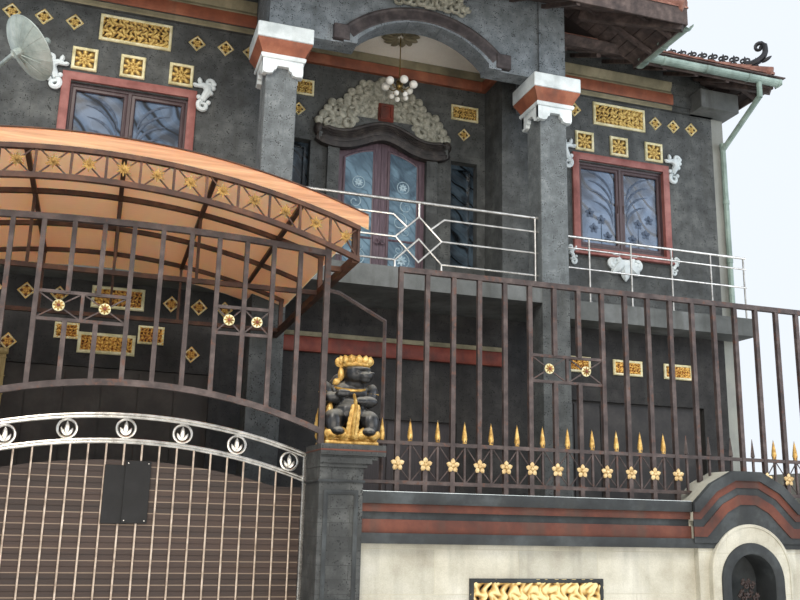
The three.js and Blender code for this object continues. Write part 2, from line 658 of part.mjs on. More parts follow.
// A stem, a hub and six arms with a globe each
function addChandelier() {
  const arms = 6;
  const reach = 190;
  const tips = series(arms, i => {
    const a = Math.PI * 2 * (i + 0.5) / arms;
    return [reach * Math.cos(a), LAMP_Y + reach * Math.sin(a), LAMP_Z + 60];
  });
  const rods = tips.map(tip => rod([0, LAMP_Y, LAMP_Z], tip, 12, 6));
  const globes = tips.map(([x, y, z]) => ball(x, y, z - 40, 62, 62, 62, 8));
  const stem = rod([0, LAMP_Y, LAMP_Z - 40], [0, LAMP_Y, CEILING - 30 - SEAT], 10, 6);
  const hub = ball(0, LAMP_Y, LAMP_Z, 45, 45, 60, 8);
  addNode('chandelier', joined([stem, hub, ...rods, ...globes]), LAMP_GLASS);
}

// A dish seen from behind, on an arm from the wall, with its feed on a boom
function addDish() {
  const radius = 350;
  const bowlDeep = 112;
  const skin = 14;
  const rings = 6;
  const tubeR = 24;
  const front = series(rings + 1, i => new THREE.Vector2(radius * i / rings, bowlDeep * (i / rings) ** 2));
  const behind = front.map(p => new THREE.Vector2(p.x, p.y - skin)).reverse();
  const bowl = new THREE.LatheGeometry([...front, ...behind].reverse(), 20);
  const up = new THREE.Vector3(0, 1, 0);
  const facing = new THREE.Vector3(0.69, 0.316, 0.651).normalize();
  const hub = new THREE.Vector3(-4530, -1200, 6224);
  bowl.applyQuaternion(new THREE.Quaternion().setFromUnitVectors(up, facing));
  bowl.translate(hub.x, hub.y, hub.z);
  const back = hub.clone().addScaledVector(facing, -5);
  const elbow = back.clone().addScaledVector(facing, -90);
  const feed = hub.clone().addScaledVector(facing, 330);
  const [x, z] = [-5000, 6430];
  const parts = [solid(bowl), rod(back.toArray(), elbow.toArray(), 2 * tubeR),
    rod(elbow.toArray(), [x, -12, z], tubeR),
    box(x - 90, x + 90, -12, 0, z - 90, z + 90),
    rod(hub.toArray(), feed.toArray(), 12, 6),
    ball(feed.x, feed.y, feed.z, 40, 40, 40, 8)];
  addNode('satellite_dish', joined(parts), DISH_PAINT);
}

// A bar that follows the sheet's own facets between two places
function underSheet(top, deep, y0, y1) {
  const whole = arcBar(CANOPY_X, top, SHEET_R, deep, CANOPY_LEFT, CANOPY_RIGHT, y0, y1, CANOPY_STEPS);
  return whole.intersect(box(TRUSS_LEFT, TRUSS_RIGHT, y0 - 10, y1 + 10, 0, FLOOR));
}

function addCanopySheet() {
  const span = [CANOPY_LEFT, CANOPY_RIGHT];
  const curved = (top, deep, back) =>
    arcBar(CANOPY_X, top, SHEET_R, deep, ...span, CANOPY_FRONT, back, CANOPY_STEPS);
  const sheet = curved(SHEET_TOP, SHEET_THICK, CANOPY_BACK);
  const fascia = curved(SHEET_TOP - 10, FASCIA, CANOPY_FRONT + 12);
  const room = COLUMN_HALF + 5;
  const column = box(-COLUMN_X - room, room - COLUMN_X, COLUMN_FRONT - 5, 0, 0, FLOOR);
  addNode('canopy_sheet', sheet.add(fascia).subtract(column), COPPER_SHEET);
}

// The front truss: two arcs with uprights and crossed bars between them
function addTruss() {
  const y0 = CANOPY_FRONT;
  const y1 = CANOPY_FRONT + TRUSS_DEEP;
  const y = (y0 + y1) / 2;
  const highTop = SHEET_TOP - 10 - FASCIA - SEAT;
  const lowR = SHEET_R * 0.9;
  const upper = underSheet(highTop, 36, y0, y1);
  const lower = arcBar(CANOPY_X, TRUSS_LOW, lowR, 40, TRUSS_LEFT, TRUSS_RIGHT, y0, y1, CANOPY_STEPS);
  const high = x => arcHeight(CANOPY_X, highTop - 18, SHEET_R, x);
  const low = x => arcHeight(CANOPY_X, TRUSS_LOW - 20, lowR, x);
  const edges = series(TRUSS_CELLS + 1, i => TRUSS_LEFT + (TRUSS_RIGHT - TRUSS_LEFT) * i / TRUSS_CELLS);
  const uprights = edges.map(edge => {
    const x = Math.min(Math.max(edge, TRUSS_LEFT + 10), TRUSS_RIGHT - 10);
    return bar([x, y, low(x)], [x, y, high(x)], 18);
  });
  const crosses = edges.slice(1).flatMap((edge, i) => {
    const a = edges[i] + 9;
    const b = edge - 9;
    return [bar([a, y, low(a)], [b, y, high(b)], 10), bar([a, y, high(a)], [b, y, low(b)], 10)];
  });
  addNode('canopy_truss', joined([upper, lower, ...uprights, ...crosses]), RUSTY_STEEL);
}

// Ribs and purlins under the sheet, side frames that carry them, and two tie frames across
function addCanopyFrame() {
  const ribTop = SHEET_TOP - SHEET_THICK - SEAT;
  const ribLow = x => arcHeight(CANOPY_X, ribTop - RIB_DEEP, SHEET_R, x);
  const ribs = RIB_YS.map(y => underSheet(ribTop, RIB_DEEP, y, y + RIB_DEEP));
  const spots = [0.12, 0.31, 0.5, 0.69, 0.88].map(t => TRUSS_LEFT + (TRUSS_RIGHT - TRUSS_LEFT) * t);
  const ribEnd = RIB_YS[3] + RIB_DEEP;
  const purlins = spots.map(x => box(x - 18, x + 18, RIB_YS[0], ribEnd, ribLow(x) - 15, ribLow(x) + 15));
  const overhead = joined([...ribs, ...purlins]);
  addNode('canopy_frame', overhead, RUSTY_STEEL);
  const clear = overhead.add(overhead.translate([0, 0, -SEAT]));
  const [z0, z1] = BEAM_ZS;
  const start = CANOPY_FRONT + TRUSS_DEEP + SEAT;
  for (const [side, x, end, near, far] of [
    ['left', TRUSS_LEFT, CANOPY_BACK, TRUSS_LEFT + 40, GRILLE_LEFT - 2],
    ['right', TRUSS_RIGHT - BEAM_WIDE, COLUMN_FRONT - SEAT, GRILLE_RIGHT + 2, TRUSS_RIGHT - 40]]) {
    const beam = box(x, x + BEAM_WIDE, start, end, z0, z1);
    const posts = RIB_YS.map(y => box(x + 5, x + 45, y, y + RIB_DEEP, z1 - 10, ribLow(x + 25) + 20));
    const stub = box(near, far, GRILLE_Y - 20, GRILLE_Y + 20, z0 + 10, z1 - 10);
    addNode(`canopy_side_${side}`, joined([beam, ...posts, stub]).subtract(clear), RUSTY_STEEL);
  }
  for (const [place, y] of [['front', RIB_YS[1]], ['back', RIB_YS[3]]]) {
    const inset = BEAM_WIDE + SEAT;
    const tie = box(TRUSS_LEFT + inset, TRUSS_RIGHT - inset, y, y + RIB_DEEP, z0 + 10, z1 - 10);
    const struts = spots.slice(1, 4).map(x => box(x - 12, x + 12, y + 8, y + 32, z1 - 20, ribLow(x) + 20));
    addNode(`canopy_tie_${place}`, joined([tie, ...struts]).subtract(clear), RUSTY_STEEL);
  }
}

// A gate post with a foot, a small niche and a stepped cap; outer is +1 where the cap overhangs to the right
function addPost(name, x, outer) {
  const h = POST_HALF;
  const d = POST_DEEP;
  const y = STREET_Y;
  const shaft = box(x - h, x + h, y - d, y + d, 0, POST_TOP - 110);
  const cap = [[-170, -135, 10, 25], [-140, -100, 22, 60], [-110, -70, 12, 105], [-80, 0, 30, 165]];
  const rings = cap.map(([low, high, out, over]) => {
    const edges = [x - outer * (h + 3), x + outer * (h + over)];
    const [left, right] = [Math.min(...edges), Math.max(...edges)];
    return box(left, right, y - d - out, y + d + out, POST_TOP + low, POST_TOP + high);
  });
  const foot = box(x - h, x + h, y - d - 30, y + d + 30, 0, 260);
  const niche = box(x - 90, x + 90, y - d - 60, y - d + 130, NICHE_FOOT, 760);
  addNode(name, joined([shaft, ...rings, foot]).subtract(niche), POST_STONE);
}

// A crouching temple guardian on a petal base, facing the street; turn swings its head sideways
function addGuardian(name, x, turn) {
  const both = make => [make(-1), make(1)];
  const head = 20 * turn;
  const parts = [box(-190, 190, -150, 150, 0, 60),
    box(-205, 205, -170, 170, 30, 110),
    ball(0, 20, 300, 130, 115, 190),
    ball(0, -45, 250, 110, 90, 120),
    ...both(s => ball(s * 120, -70, 190, 78, 95, 105, 8)),
    ...both(s => ball(s * 140, -20, 370, 55, 65, 120, 8)),
    ball(0, -110, 370, 95, 60, 55, 8),
    ball(head, -50, 560, 100, 105, 105),
    ball(0, -20, 640, 105, 100, 45, 8),
    ball(0, 20, 690, 50, 50, 60, 8),
    ...both(s => box(head + s * 98 - 22, head + s * 98 + 22, -60, -20, 480, 650))];
  addNode(name, joined(parts).translate([x, STREET_Y, POST_TOP]), BLACK_STONE);
}

// The gable's outline over the pier from left to right, raised by lift
function gableLine(lift) {
  const foot = COPING_TOP;
  const rightHalf = [[120, GABLE_TOP], [320, GABLE_TOP - 100], [PIER_HALF, foot], [PIER_HALF + 60, foot]];
  const leftHalf = rightHalf.map(([x, z]) => [-x, z]).reverse();
  return [...leftHalf, ...rightHalf].map(([x, z]) => [NICHE_X + x, z + lift]);
}

// Half a circle in X and Z round the niche's centre line, standing on straight sides down to foot
function archOutline(radius, centre, foot) {
  const arc = series(17, i => {
    const a = Math.PI * i / 16;
    return [NICHE_X + radius * Math.cos(a), centre + radius * Math.sin(a)];
  });
  return [[NICHE_X - radius, foot], [NICHE_X + radius, foot], ...arc];
}

// The street wall with its mouldings, and a pier with an arched collar under a small gable round the niche
function addFrontWall() {
  const f = WALL_FRONT;
  const b = WALL_BACK;
  const top = COPING_TOP;
  const inside = [[b, 0], [b, top - 80], [b + 30, top - 80], [b + 30, top]];
  const mouldings = WALL_MOULDINGS.flatMap(([out, high, low]) => [[f - out, high], [f - out, low]]);
  const ledgeFoot = mouldings[mouldings.length - 1][1];
  const profile = [...inside, ...mouldings, [f, ledgeFoot], [f, 0]];
  const wall = acrossX([...profile].reverse(), POST_X + POST_HALF, HALF);
  const x0 = NICHE_X - PIER_HALF;
  const x1 = NICHE_X + PIER_HALF;
  const pier = box(x0, x1, f - 60, b, 0, ledgeFoot + 5);
  const collar = acrossY(archOutline(COLLAR_R, COLLAR_TOP - COLLAR_R, 0), f - 110, f + 20);
  const gableFoot = COLLAR_TOP + 20;
  const gable = acrossY([[x0 - 60, gableFoot], [x1 + 60, gableFoot], ...gableLine(0).reverse()], f - 95, b);
  const niche = acrossY(archOutline(NICHE_R, NICHE_SPRING, NICHE_FOOT), f - 200, f + 150);
  addNode('front_wall', joined([wall, pier, collar, gable]).subtract(niche), CREAM_PLASTER);
}

function addBoundaryWalls() {
  const right = box(HALF - WALL, HALF, WALL_BACK + 30, 0, 0, 2200);
  addNode('boundary_wall_right', right, CONCRETE);
  const left = box(-HALF, WALL - HALF, STREET_Y + POST_DEEP + 30 + SEAT, 0, 0, BEAM_ZS[0] - SEAT);
  addNode('boundary_wall_left', left, CONCRETE);
}

// A box of two cells between two rails, a crossed pair of thin bars in each cell
function starBox(x0, x1, y, [z0, z1]) {
  const m = (x0 + x1) / 2;
  const rails = [z0, z1].map(z => box(x0, x1, y - 12, y + 12, z - 12, z + 12));
  const divider = box(m - 12, m + 12, y - 12, y + 12, z0, z1);
  const lines = [[x0, z0, m, z1], [m, z1, x1, z0], [x0, z1, m, z0], [m, z0, x1, z1]];
  return [...rails, divider, ...lines.map(([xa, za, xb, zb]) => bar([xa, y, za], [xb, y, zb], 10))];
}

// Bars between three rails, a spear between every two bars, all cut to the gable's outline
function addFence() {
  const y = STREET_Y;
  const w = 19;
  const left = FENCE_LEFT - w;
  const right = HALF - 40;
  const [z0, z1] = FENCE_STAR_ZS;
  const railRows = [[22, FENCE_TOP - 45, FENCE_TOP], [18, 1800, 1830], [16, 2105, 2135]];
  const rails = railRows.map(([half, low, high]) => box(left, right, y - half, y + half, low, high));
  const count = Math.ceil((right - FENCE_LEFT) / FENCE_PITCH);
  const places = series(count, i => FENCE_LEFT + FENCE_PITCH * i);
  const bars = places.map(x => box(x - w, x + w, y - w, y + w, COPING_TOP, FENCE_TOP - 10));
  const spears = places.map(x => x + FENCE_PITCH * 0.46).filter(x => x < right - 20).flatMap(x => {
    const tip = new THREE.CylinderGeometry(3, 24, 160, 4);
    tip.rotateX(Math.PI / 2);
    tip.translate(x, y, 2225);
    return [box(x - 9, x + 9, y - 9, y + 9, 1810, 2150), solid(tip)];
  });
  const low = [[NICHE_X - PIER_HALF - 80, 1700], [NICHE_X + PIER_HALF + 80, 1700]];
  const clear = acrossY([...low, ...gableLine(5).reverse()], y - 100, y + 100);
  const starLeft = places[5];
  const starRight = places[8];
  const window = box(starLeft + w, starRight - w, y - 50, y + 50, z0, z1);
  const body = joined([...rails, ...bars, ...spears]).subtract(clear).subtract(window);
  addNode('front_fence', joined([body, ...starBox(starLeft, starRight, y, FENCE_STAR_ZS)]), RUSTY_STEEL);
}

// The fixed grille over the gate: bars between two arcs, and two boxes with crossed bars
function addGrille() {
  const y = GRILLE_Y;
  const l = GRILLE_LEFT;
  const r = GRILLE_RIGHT;
  const half = (r - l) / 2;
  const mid = (l + r) / 2;
  const rail = 46;
  const w = 17;
  const low = { top: 2460, radius: arcRadius(half, 280) };
  const high = { top: 3640, radius: arcRadius(half, 60) };
  const arcs = [arcBar(mid, low.top, low.radius, rail, l, r, y - 20, y + 20, 20),
    arcBar(mid, high.top, high.radius, rail, l, r, y - 20, y + 20, 12)];
  const at = i => GRILLE_FIRST - i * GRILLE_PITCH;
  const height = (arc, x) => arcHeight(mid, arc.top - 20, arc.radius, x);
  const bars = series(12, i => {
    const x = at(i + 1);
    return box(x - w, x + w, y - w, y + w, height(low, x), height(high, x));
  });
  const ends = [l + 20, r - 20].map(x => box(x - 22, x + 22, y - 22, y + 22, POST_TOP, high.top));
  const stars = [[at(10), at(7)], [at(4), at(2)]];
  const window = box(at(10) + w, at(7) - w, y - 50, y + 50, STAR_ZS[0], STAR_ZS[1]);
  const grid = joined([...arcs, ...bars, ...ends]).subtract(window);
  const boxes = stars.flatMap(([x0, x1]) => starBox(x0, x1, y, STAR_ZS));
  addNode('gate_grille', joined([grid, ...boxes]), RUSTY_STEEL);
}

// The gate's frame: two arcs with ring medallions between them, rods, rails, wheels and a plate
function addGateFrame() {
  const y = GATE_Y;
  const stile = 25;
  const low = 70;
  const arc = (drop, x) => arcHeight(GATE_X, GATE_TOP - drop, GATE_R, x);
  const tube = (drop, deep, half) =>
    arcBar(GATE_X, GATE_TOP - drop, GATE_R, deep, GATE_LEFT, GATE_RIGHT, y - half, y + half, 24);
  const curved = [tube(0, 45, 22), tube(190, 36, 18)];
  const stiles = [GATE_LEFT + stile, GATE_RIGHT - stile].map(x =>
    box(x - stile, x + stile, y - stile, y + stile, low, arc(20, x)));
  const sill = box(GATE_LEFT, GATE_RIGHT, y - stile, y + stile, low, low + 50);
  const rods = series(21, i => {
    const x = GATE_LEFT + (GATE_RIGHT - GATE_LEFT) * (i + 1) / 22;
    return box(x - 7, x + 7, y - 7, y + 7, 100, arc(208, x));
  });
  const rails = [500, 1200].map(z => box(GATE_LEFT + 20, GATE_RIGHT - 20, y - 5, y + 5, z - 7, z + 7));
  const medallions = series(7, i => {
    const x = GATE_X + (i - 3) * 418;
    return rod([x, y - 12, arc(118, x)], [x, y + 12, arc(118, x)], 80, 10);
  });
  const wheels = [GATE_LEFT + 350, GATE_RIGHT - 350].flatMap(x => [
    box(x - 70, x + 70, y - 16, y + 16, 45, 90), rod([x, y - 14, 62], [x, y + 14, 62], 42, 16)]);
  const plate = box(GATE_X - 240, GATE_X + 130, y - 16, y - 5, 1330, 1700);
  const parts = [...curved, sill, ...stiles, ...rods, ...rails, ...medallions, ...wheels, plate];
  addNode('gate_frame', joined(parts), STAINLESS);
}

// Boards behind the gate's rods, in one panel with a groove between every two
function addGateSlats() {
  const y = GATE_Y;
  const edge = 50;
  const half = (GATE_RIGHT - GATE_LEFT) / 2 - 260;
  const humpR = arcRadius(half, SLAT_HUMP);
  const hump = arcPoints(GATE_X, SLAT_TOP + SLAT_HUMP, humpR, GATE_X + half, GATE_X - half, 14);
  const outline = [[GATE_LEFT + edge, 130], [GATE_RIGHT - edge, 130], [GATE_RIGHT - edge, SLAT_TOP], ...hump,
    [GATE_LEFT + edge, SLAT_TOP]];
  const first = 215;
  const grooves = series(Math.ceil((SLAT_TOP + SLAT_HUMP - first) / SLAT_PITCH), i => {
    const z = first + SLAT_PITCH * i;
    return box(GATE_LEFT, GATE_RIGHT, y, y + 14, z - 4, z + 4);
  });
  addNode('gate_slats', cutBy(acrossY(outline, y + 8 + SEAT, y + 26), grooves), SLAT_WOOD);
}

// The rail that the wheels run on, with a stop where the gate is fully open
function addTrack() {
  const stop = GATE_RIGHT + GATE_TRAVEL + 60;
  const rail = box(GATE_LEFT - 60, stop + 60, GATE_Y - 20, GATE_Y + 20, 0, 19.5);
  const bumper = box(stop, stop + 60, WALL_BACK, GATE_Y + 20, 0, 240);
  addNode('gate_track', rail.add(bumper), TRACK_STEEL);
}

addSlabs();
addGroundFront();
addUpperFront();
addSideAndBackWalls();
addRecess();
addBalconyDoor();
addDoorSurround();
addColumn('left_column', -COLUMN_X);
addColumn('right_column', COLUMN_X);
addPorticoWall();
addWindow('left', -WINDOW_X);
addWindow('right', WINDOW_X);
addBalconyRailing();
addWingRailings();
addGroundDoors();
addRoofs();
addHipCrests();
addRidgeCrest();
addGutters();
addChandelier();
addDish();
addCanopySheet();
addTruss();
addCanopyFrame();
addPost('gate_post_right', POST_X, 1);
addPost('gate_post_left', LEFT_POST_X, -1);
addGuardian('guardian_right', POST_X + CAP_SHIFT, 1);
addGuardian('guardian_left', LEFT_POST_X - CAP_SHIFT, -1);
addFrontWall();
addBoundaryWalls();
addFence();
addGrille();
addGateFrame();
addGateSlats();
addTrack();

export default group;
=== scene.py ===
# %% [markdown]
# # A stone-clad Balinese house behind its street wall
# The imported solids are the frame: walls, roofs, canopy, wall, fence and gate, all in metres, with the street
# on the -Y side. This lesson dresses them. Each finish is a node material that starts from what the real
# surface is, and each carved or bent thing is a new mesh worked out with numpy and set where the solid is.

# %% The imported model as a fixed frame
from math import cos, pi, radians, sin, sqrt

import bmesh
import bpy
import numpy as np
from mathutils import Matrix, Vector
from mathutils.geometry import tessellate_polygon


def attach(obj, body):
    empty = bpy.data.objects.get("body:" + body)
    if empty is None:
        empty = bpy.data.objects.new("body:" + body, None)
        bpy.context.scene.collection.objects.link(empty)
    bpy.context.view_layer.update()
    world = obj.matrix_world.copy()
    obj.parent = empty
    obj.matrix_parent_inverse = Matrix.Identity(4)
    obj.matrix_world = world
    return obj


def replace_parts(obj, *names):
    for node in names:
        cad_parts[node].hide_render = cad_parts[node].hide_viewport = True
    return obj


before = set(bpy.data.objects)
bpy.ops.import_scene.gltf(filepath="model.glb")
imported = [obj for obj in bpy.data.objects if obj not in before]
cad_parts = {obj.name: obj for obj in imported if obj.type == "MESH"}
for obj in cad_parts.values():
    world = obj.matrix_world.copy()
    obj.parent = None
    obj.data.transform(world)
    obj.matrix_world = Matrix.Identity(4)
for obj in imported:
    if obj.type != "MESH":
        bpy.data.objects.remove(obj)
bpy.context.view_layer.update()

scene = bpy.context.scene
MM = 0.001
UP, STREETWARD = (0, 0, 1), (0, -1, 0)
SIDES = ((-1, "left"), (1, "right"))

# %% [markdown]
# ## Shapes from arrays
# A shape is a tuple of arrays: points, four-sided faces, three-sided faces and one tone a point, which a
# material may read. Everything here is a net of points, rows along and columns round, so a whole shape is
# computed at once and no loop runs over its vertices.

# %% Nets, ends and joining
def joined(*shapes):
    """One shape out of several: each part's corner numbers are raised by the points before it."""
    counts = np.cumsum([0] + [len(part[0]) for part in shapes])
    points = np.vstack([part[0] for part in shapes])
    quads = np.vstack([part[1] + start for part, start in zip(shapes, counts)])
    triangles = np.vstack([part[2] + start for part, start in zip(shapes, counts)])
    return points, quads, triangles, np.concatenate([part[3] for part in shapes])


def net(points, around=False, along=False, tone=0):
    """Quads between neighbours of a rows by columns net; around and along close its two ways."""
    rows, columns = points.shape[:2]
    row = np.arange(rows if along else rows - 1)
    column = np.arange(columns if around else columns - 1)
    row, column = (axis.ravel() for axis in np.meshgrid(row, column, indexing="ij"))
    below, beside = (row + 1) % rows, (column + 1) % columns
    quads = np.stack([row * columns + column, row * columns + beside,
                      below * columns + beside, below * columns + column], 1)
    flat = points.reshape(-1, 3)
    return flat, quads, np.zeros((0, 3), int), np.broadcast_to(np.ravel(tone), rows * columns).astype(float)


def capped(points, outline=None):
    """A tube net with both ends closed by the triangles of its outline, which may be hollowed."""
    rows, columns = points.shape[:2]
    flat, quads, _, tone = net(points, around=True)
    plane = points[0] if outline is None else np.column_stack([outline, np.zeros(columns)])
    corners = np.array(tessellate_polygon([[Vector(p) for p in plane]]))
    return flat, quads, np.vstack([corners[:, ::-1], corners + (rows - 1) * columns]), tone


def circle(sides, radius=1, squash=1):
    """Points of a circle: radius times cosine and sine of equal steps of the turn."""
    turn = np.arange(sides) * 2 * pi / sides
    return np.column_stack([radius * np.cos(turn), radius * squash * np.sin(turn)])


def carry(profile, path, normal=STREETWARD, loop=False, scale=1):
    """A profile (sideways, along normal) carried along a flat path. At a corner the sideways vector is
    (a + b) / (1 + a.b) of the two legs' own, which mitres it."""
    path, profile, normal = (np.asarray(given, float) for given in (path, profile, normal))
    legs = np.roll(path, -1, 0) - path
    legs /= np.maximum(np.linalg.norm(legs, axis=1, keepdims=True), 1e-9)
    after = np.cross(legs, normal)
    before = np.roll(after, 1, 0)
    if not loop:
        after[-1], before[0] = after[-2], after[0]
    side = (before + after) / (1 + np.sum(before * after, 1, keepdims=True))
    size = np.broadcast_to(scale, len(path))[:, None, None]
    across = profile[None, :, :1] * side[:, None, :] + profile[None, :, 1:] * normal
    points = path[:, None, :] + size * across
    return net(points, around=True, along=True) if loop else capped(points, profile)


def tube(path, radius, sides=8, normal=STREETWARD, loop=False, squash=1, scale=1):
    """A round or flattened bar along a flat path, its radius times scale at each point."""
    return carry(circle(sides, radius, squash), path, normal, loop, scale)


def rod(start, end, radius, sides=8):
    """A straight round bar between two points, with a normal that is square to it."""
    start, end = np.asarray(start, float), np.asarray(end, float)
    along = (end - start) / np.linalg.norm(end - start)
    helper = np.array([0, 0, 1]) if abs(along[2]) < 0.9 else np.array([1, 0, 0])
    normal = np.cross(along, helper)
    return tube([start, end], radius, sides, normal / np.linalg.norm(normal))


def block(low, high, edge):
    """A box with its edges cut back: an eight-cornered outline at four heights, drawn in at both ends."""
    (x0, y0, z0), (x1, y1, z1) = low, high
    ring = np.array([[x0 + edge, y0], [x1 - edge, y0], [x1, y0 + edge], [x1, y1 - edge],
                     [x1 - edge, y1], [x0 + edge, y1], [x0, y1 - edge], [x0, y0 + edge]])
    middle, half = np.array([x0 + x1, y0 + y1]) / 2, np.array([x1 - x0, y1 - y0]) / 2
    small = middle + (ring - middle) * (half - edge) / half
    levels = [(z0, small), (z0 + edge, ring), (z1 - edge, ring), (z1, small)]
    return capped(np.array([np.column_stack([outline, np.full(8, z)]) for z, outline in levels]))


def rectangle(x0, x1, z0, z1, y):
    """Corners of an upright rectangle, in the order that turns a profile's sideways outwards."""
    return [(x0, y, z0), (x0, y, z1), (x1, y, z1), (x1, y, z0)]


def prism(outline, start, end, axis="y"):
    """A flat outline carried straight along one axis: (x, z) along y, or (y, z) along x."""
    outline = np.asarray(outline, float)
    order = {"y": [0, 2, 1], "x": [2, 0, 1]}[axis]
    rows = [np.column_stack([outline, np.full(len(outline), place)])[:, order] for place in (start, end)]
    return capped(np.array(rows), outline)


def turned(profile, centre, sides=20, axis=UP):
    """A profile of (radius, height) turned round an axis through centre."""
    profile = np.asarray(profile, float)
    turn = Vector((0, 0, 1)).rotation_difference(Vector(axis)).to_matrix()
    around = circle(sides)
    rings = profile[:, None, :1] * around[None]
    points = np.concatenate([rings, np.repeat(profile[:, None, 1:], sides, 1)], 2)
    return capped(points @ np.array(turn).T + np.asarray(centre), around)


def egg(centre, radii, rows=9, columns=12, spin=0):
    """An ellipsoid: its rings are radius times the sine of the latitude, turned by spin in X and Z."""
    latitude = np.linspace(0.12, pi - 0.12, rows)[:, None]
    turn = (np.arange(columns) * 2 * pi / columns)[None, :]
    local = np.stack([radii[0] * np.sin(latitude) * np.cos(turn), radii[1] * np.sin(latitude) * np.sin(turn),
                      -radii[2] * np.cos(latitude) * np.ones_like(turn)], 2)
    swing = np.array([[cos(spin), 0, sin(spin)], [0, 1, 0], [-sin(spin), 0, cos(spin)]])
    return capped(local @ swing.T + np.asarray(centre))


def in_plane(x, y, z):
    """Points with those x and z, all at the same y."""
    return np.column_stack([x, np.full(len(x), y), z])


def shifted(shape, offset):
    """The same shape, moved."""
    return (shape[0] + np.asarray(offset),) + shape[1:]


def scaled(shape, factors):
    """The same shape stretched about the origin by factors along X, Y and Z; -1 mirrors it."""
    return (shape[0] * np.asarray(factors, float),) + shape[1:]


print("a bead has", len(egg((0, 0, 0), (1, 1, 1))[0]), "points")

# %% [markdown]
# ## Carver's shapes
# Balinese trim is made of a few motifs: the volute, the pointed leaf, the rosette and the pierced scroll
# panel. A volute is a tube on a shrinking spiral, a leaf is a flattened tube that swells and tapers, and a
# panel is a height field whose tone tells the paint where the high and the low places are.

# %% Volutes, leaves and height fields
def volute(centre, radius, turns=1.25, start=0, hand=1, thick=0.3, y_swell=1, steps=18, sides=7):
    """A spiral in X and Z: its radius falls to a fifth while the tube on it tapers to the eye."""
    t = np.linspace(0, 1, steps)
    angle = start + hand * 2 * pi * turns * t
    reach = radius * (1 - 0.8 * t)
    path = in_plane(centre[0] + reach * np.cos(angle), centre[1], centre[2] + reach * np.sin(angle))
    swell = np.interp(t, [0, 0.12, 0.75, 1], [0.35, 1, 0.7, 1.05])
    return tube(path, radius * thick, sides, squash=y_swell, scale=swell)


def leaf(base, angle, length, width, bend=0, thick=0.35, steps=7, sides=6):
    """A leaf in X and Z from its base: the path bends evenly and its width follows a sine arch."""
    t = np.linspace(0, 1, steps)
    heading = angle + bend * t
    step = length / (steps - 1)
    x = base[0] + np.concatenate([[0], np.cumsum(np.cos(heading[:-1]) * step)])
    z = base[2] + np.concatenate([[0], np.cumsum(np.sin(heading[:-1]) * step)])
    return tube(in_plane(x, base[1], z), width / 2, sides, squash=thick * 2,
                scale=0.12 + 0.88 * np.sin(pi * t) ** 0.7)


def flower(centre, radius, petals=6, thick=0.3):
    """Leaves all round a centre, with a bead in the middle."""
    turns = np.arange(petals) * 2 * pi / petals + pi / 2
    parts = [leaf((centre[0] + 0.15 * radius * cos(a), centre[1], centre[2] + 0.15 * radius * sin(a)), a,
                  radius * 0.85, radius * 3.4 / petals, thick=thick, steps=5) for a in turns]
    bead = egg((centre[0], centre[1] - radius * 0.08, centre[2]), (radius * 0.26,) * 3, 5, 8)
    return joined(*parts, bead)


def height_field(heights, corner, across, up, out):
    """Points of a rows by columns height map on a flat patch, with a skirt down to the patch all round."""
    rows, columns = heights.shape
    high = np.pad(heights, 1)
    u = np.clip(np.arange(-1, columns + 1) / (columns - 1), 0, 1)[None, :, None]
    v = np.clip(np.arange(-1, rows + 1) / (rows - 1), 0, 1)[:, None, None]
    corner, across, up, out = (np.asarray(vector, float) for vector in (corner, across, up, out))
    points = corner + u * across + v * up + high[..., None] * out
    return net(points, tone=high / max(heights.max(), 1e-9))


def scrollwork(rows, columns, cells_wide, cells_high, seed):
    """Heights of pierced scroll leaves, from 0 to 1: sines bent by other sines make closed curls, and a
    steep step turns them into leaves with dark gaps between."""
    v, u = np.meshgrid(np.linspace(0, cells_high, rows), np.linspace(0, cells_wide, columns), indexing="ij")
    curl = np.sin(2 * pi * u + 1.8 * np.sin(2 * pi * v + seed))
    cross = np.sin(2 * pi * v + 1.8 * np.sin(2 * pi * u * 0.9 + 2 * seed))
    vein = np.sin(4.2 * pi * (u - 0.3 * v) + 2.2 * curl + 1.7 * cross + seed)
    leafage = 0.5 + 0.34 * curl * cross + 0.18 * vein
    return np.clip((leafage - 0.14) * 1.7, 0, 1)


def rosette(rows, petals):
    """Heights of a round flower in a square: petals swell on two rings round a raised eye."""
    v, u = np.meshgrid(np.linspace(-1, 1, rows), np.linspace(-1, 1, rows), indexing="ij")
    distance, turn = np.hypot(u, v), np.arctan2(v, u)
    outer = (0.5 + 0.5 * np.cos(petals * turn)) * np.exp(-((distance - 0.62) / 0.24) ** 2)
    inner = (0.5 - 0.5 * np.cos(petals * turn)) * np.exp(-((distance - 0.32) / 0.14) ** 2)
    corner = np.exp(-((np.maximum(abs(u), abs(v)) - 0.95) / 0.12) ** 2) * (distance > 1)
    return np.clip(1.2 * outer + inner + np.exp(-(distance / 0.16) ** 2) + corner, 0, 1)


print("one scroll panel peaks at", round(float(scrollwork(20, 40, 3, 1, 0.4).max()), 2))

# %% [markdown]
# ## From arrays to Blender
# A piece is one mesh at the origin, so the patterns that read Object coordinates stay put on it. Its faces
# are turned outwards once, and edges sharper than the given angle stay crisp.

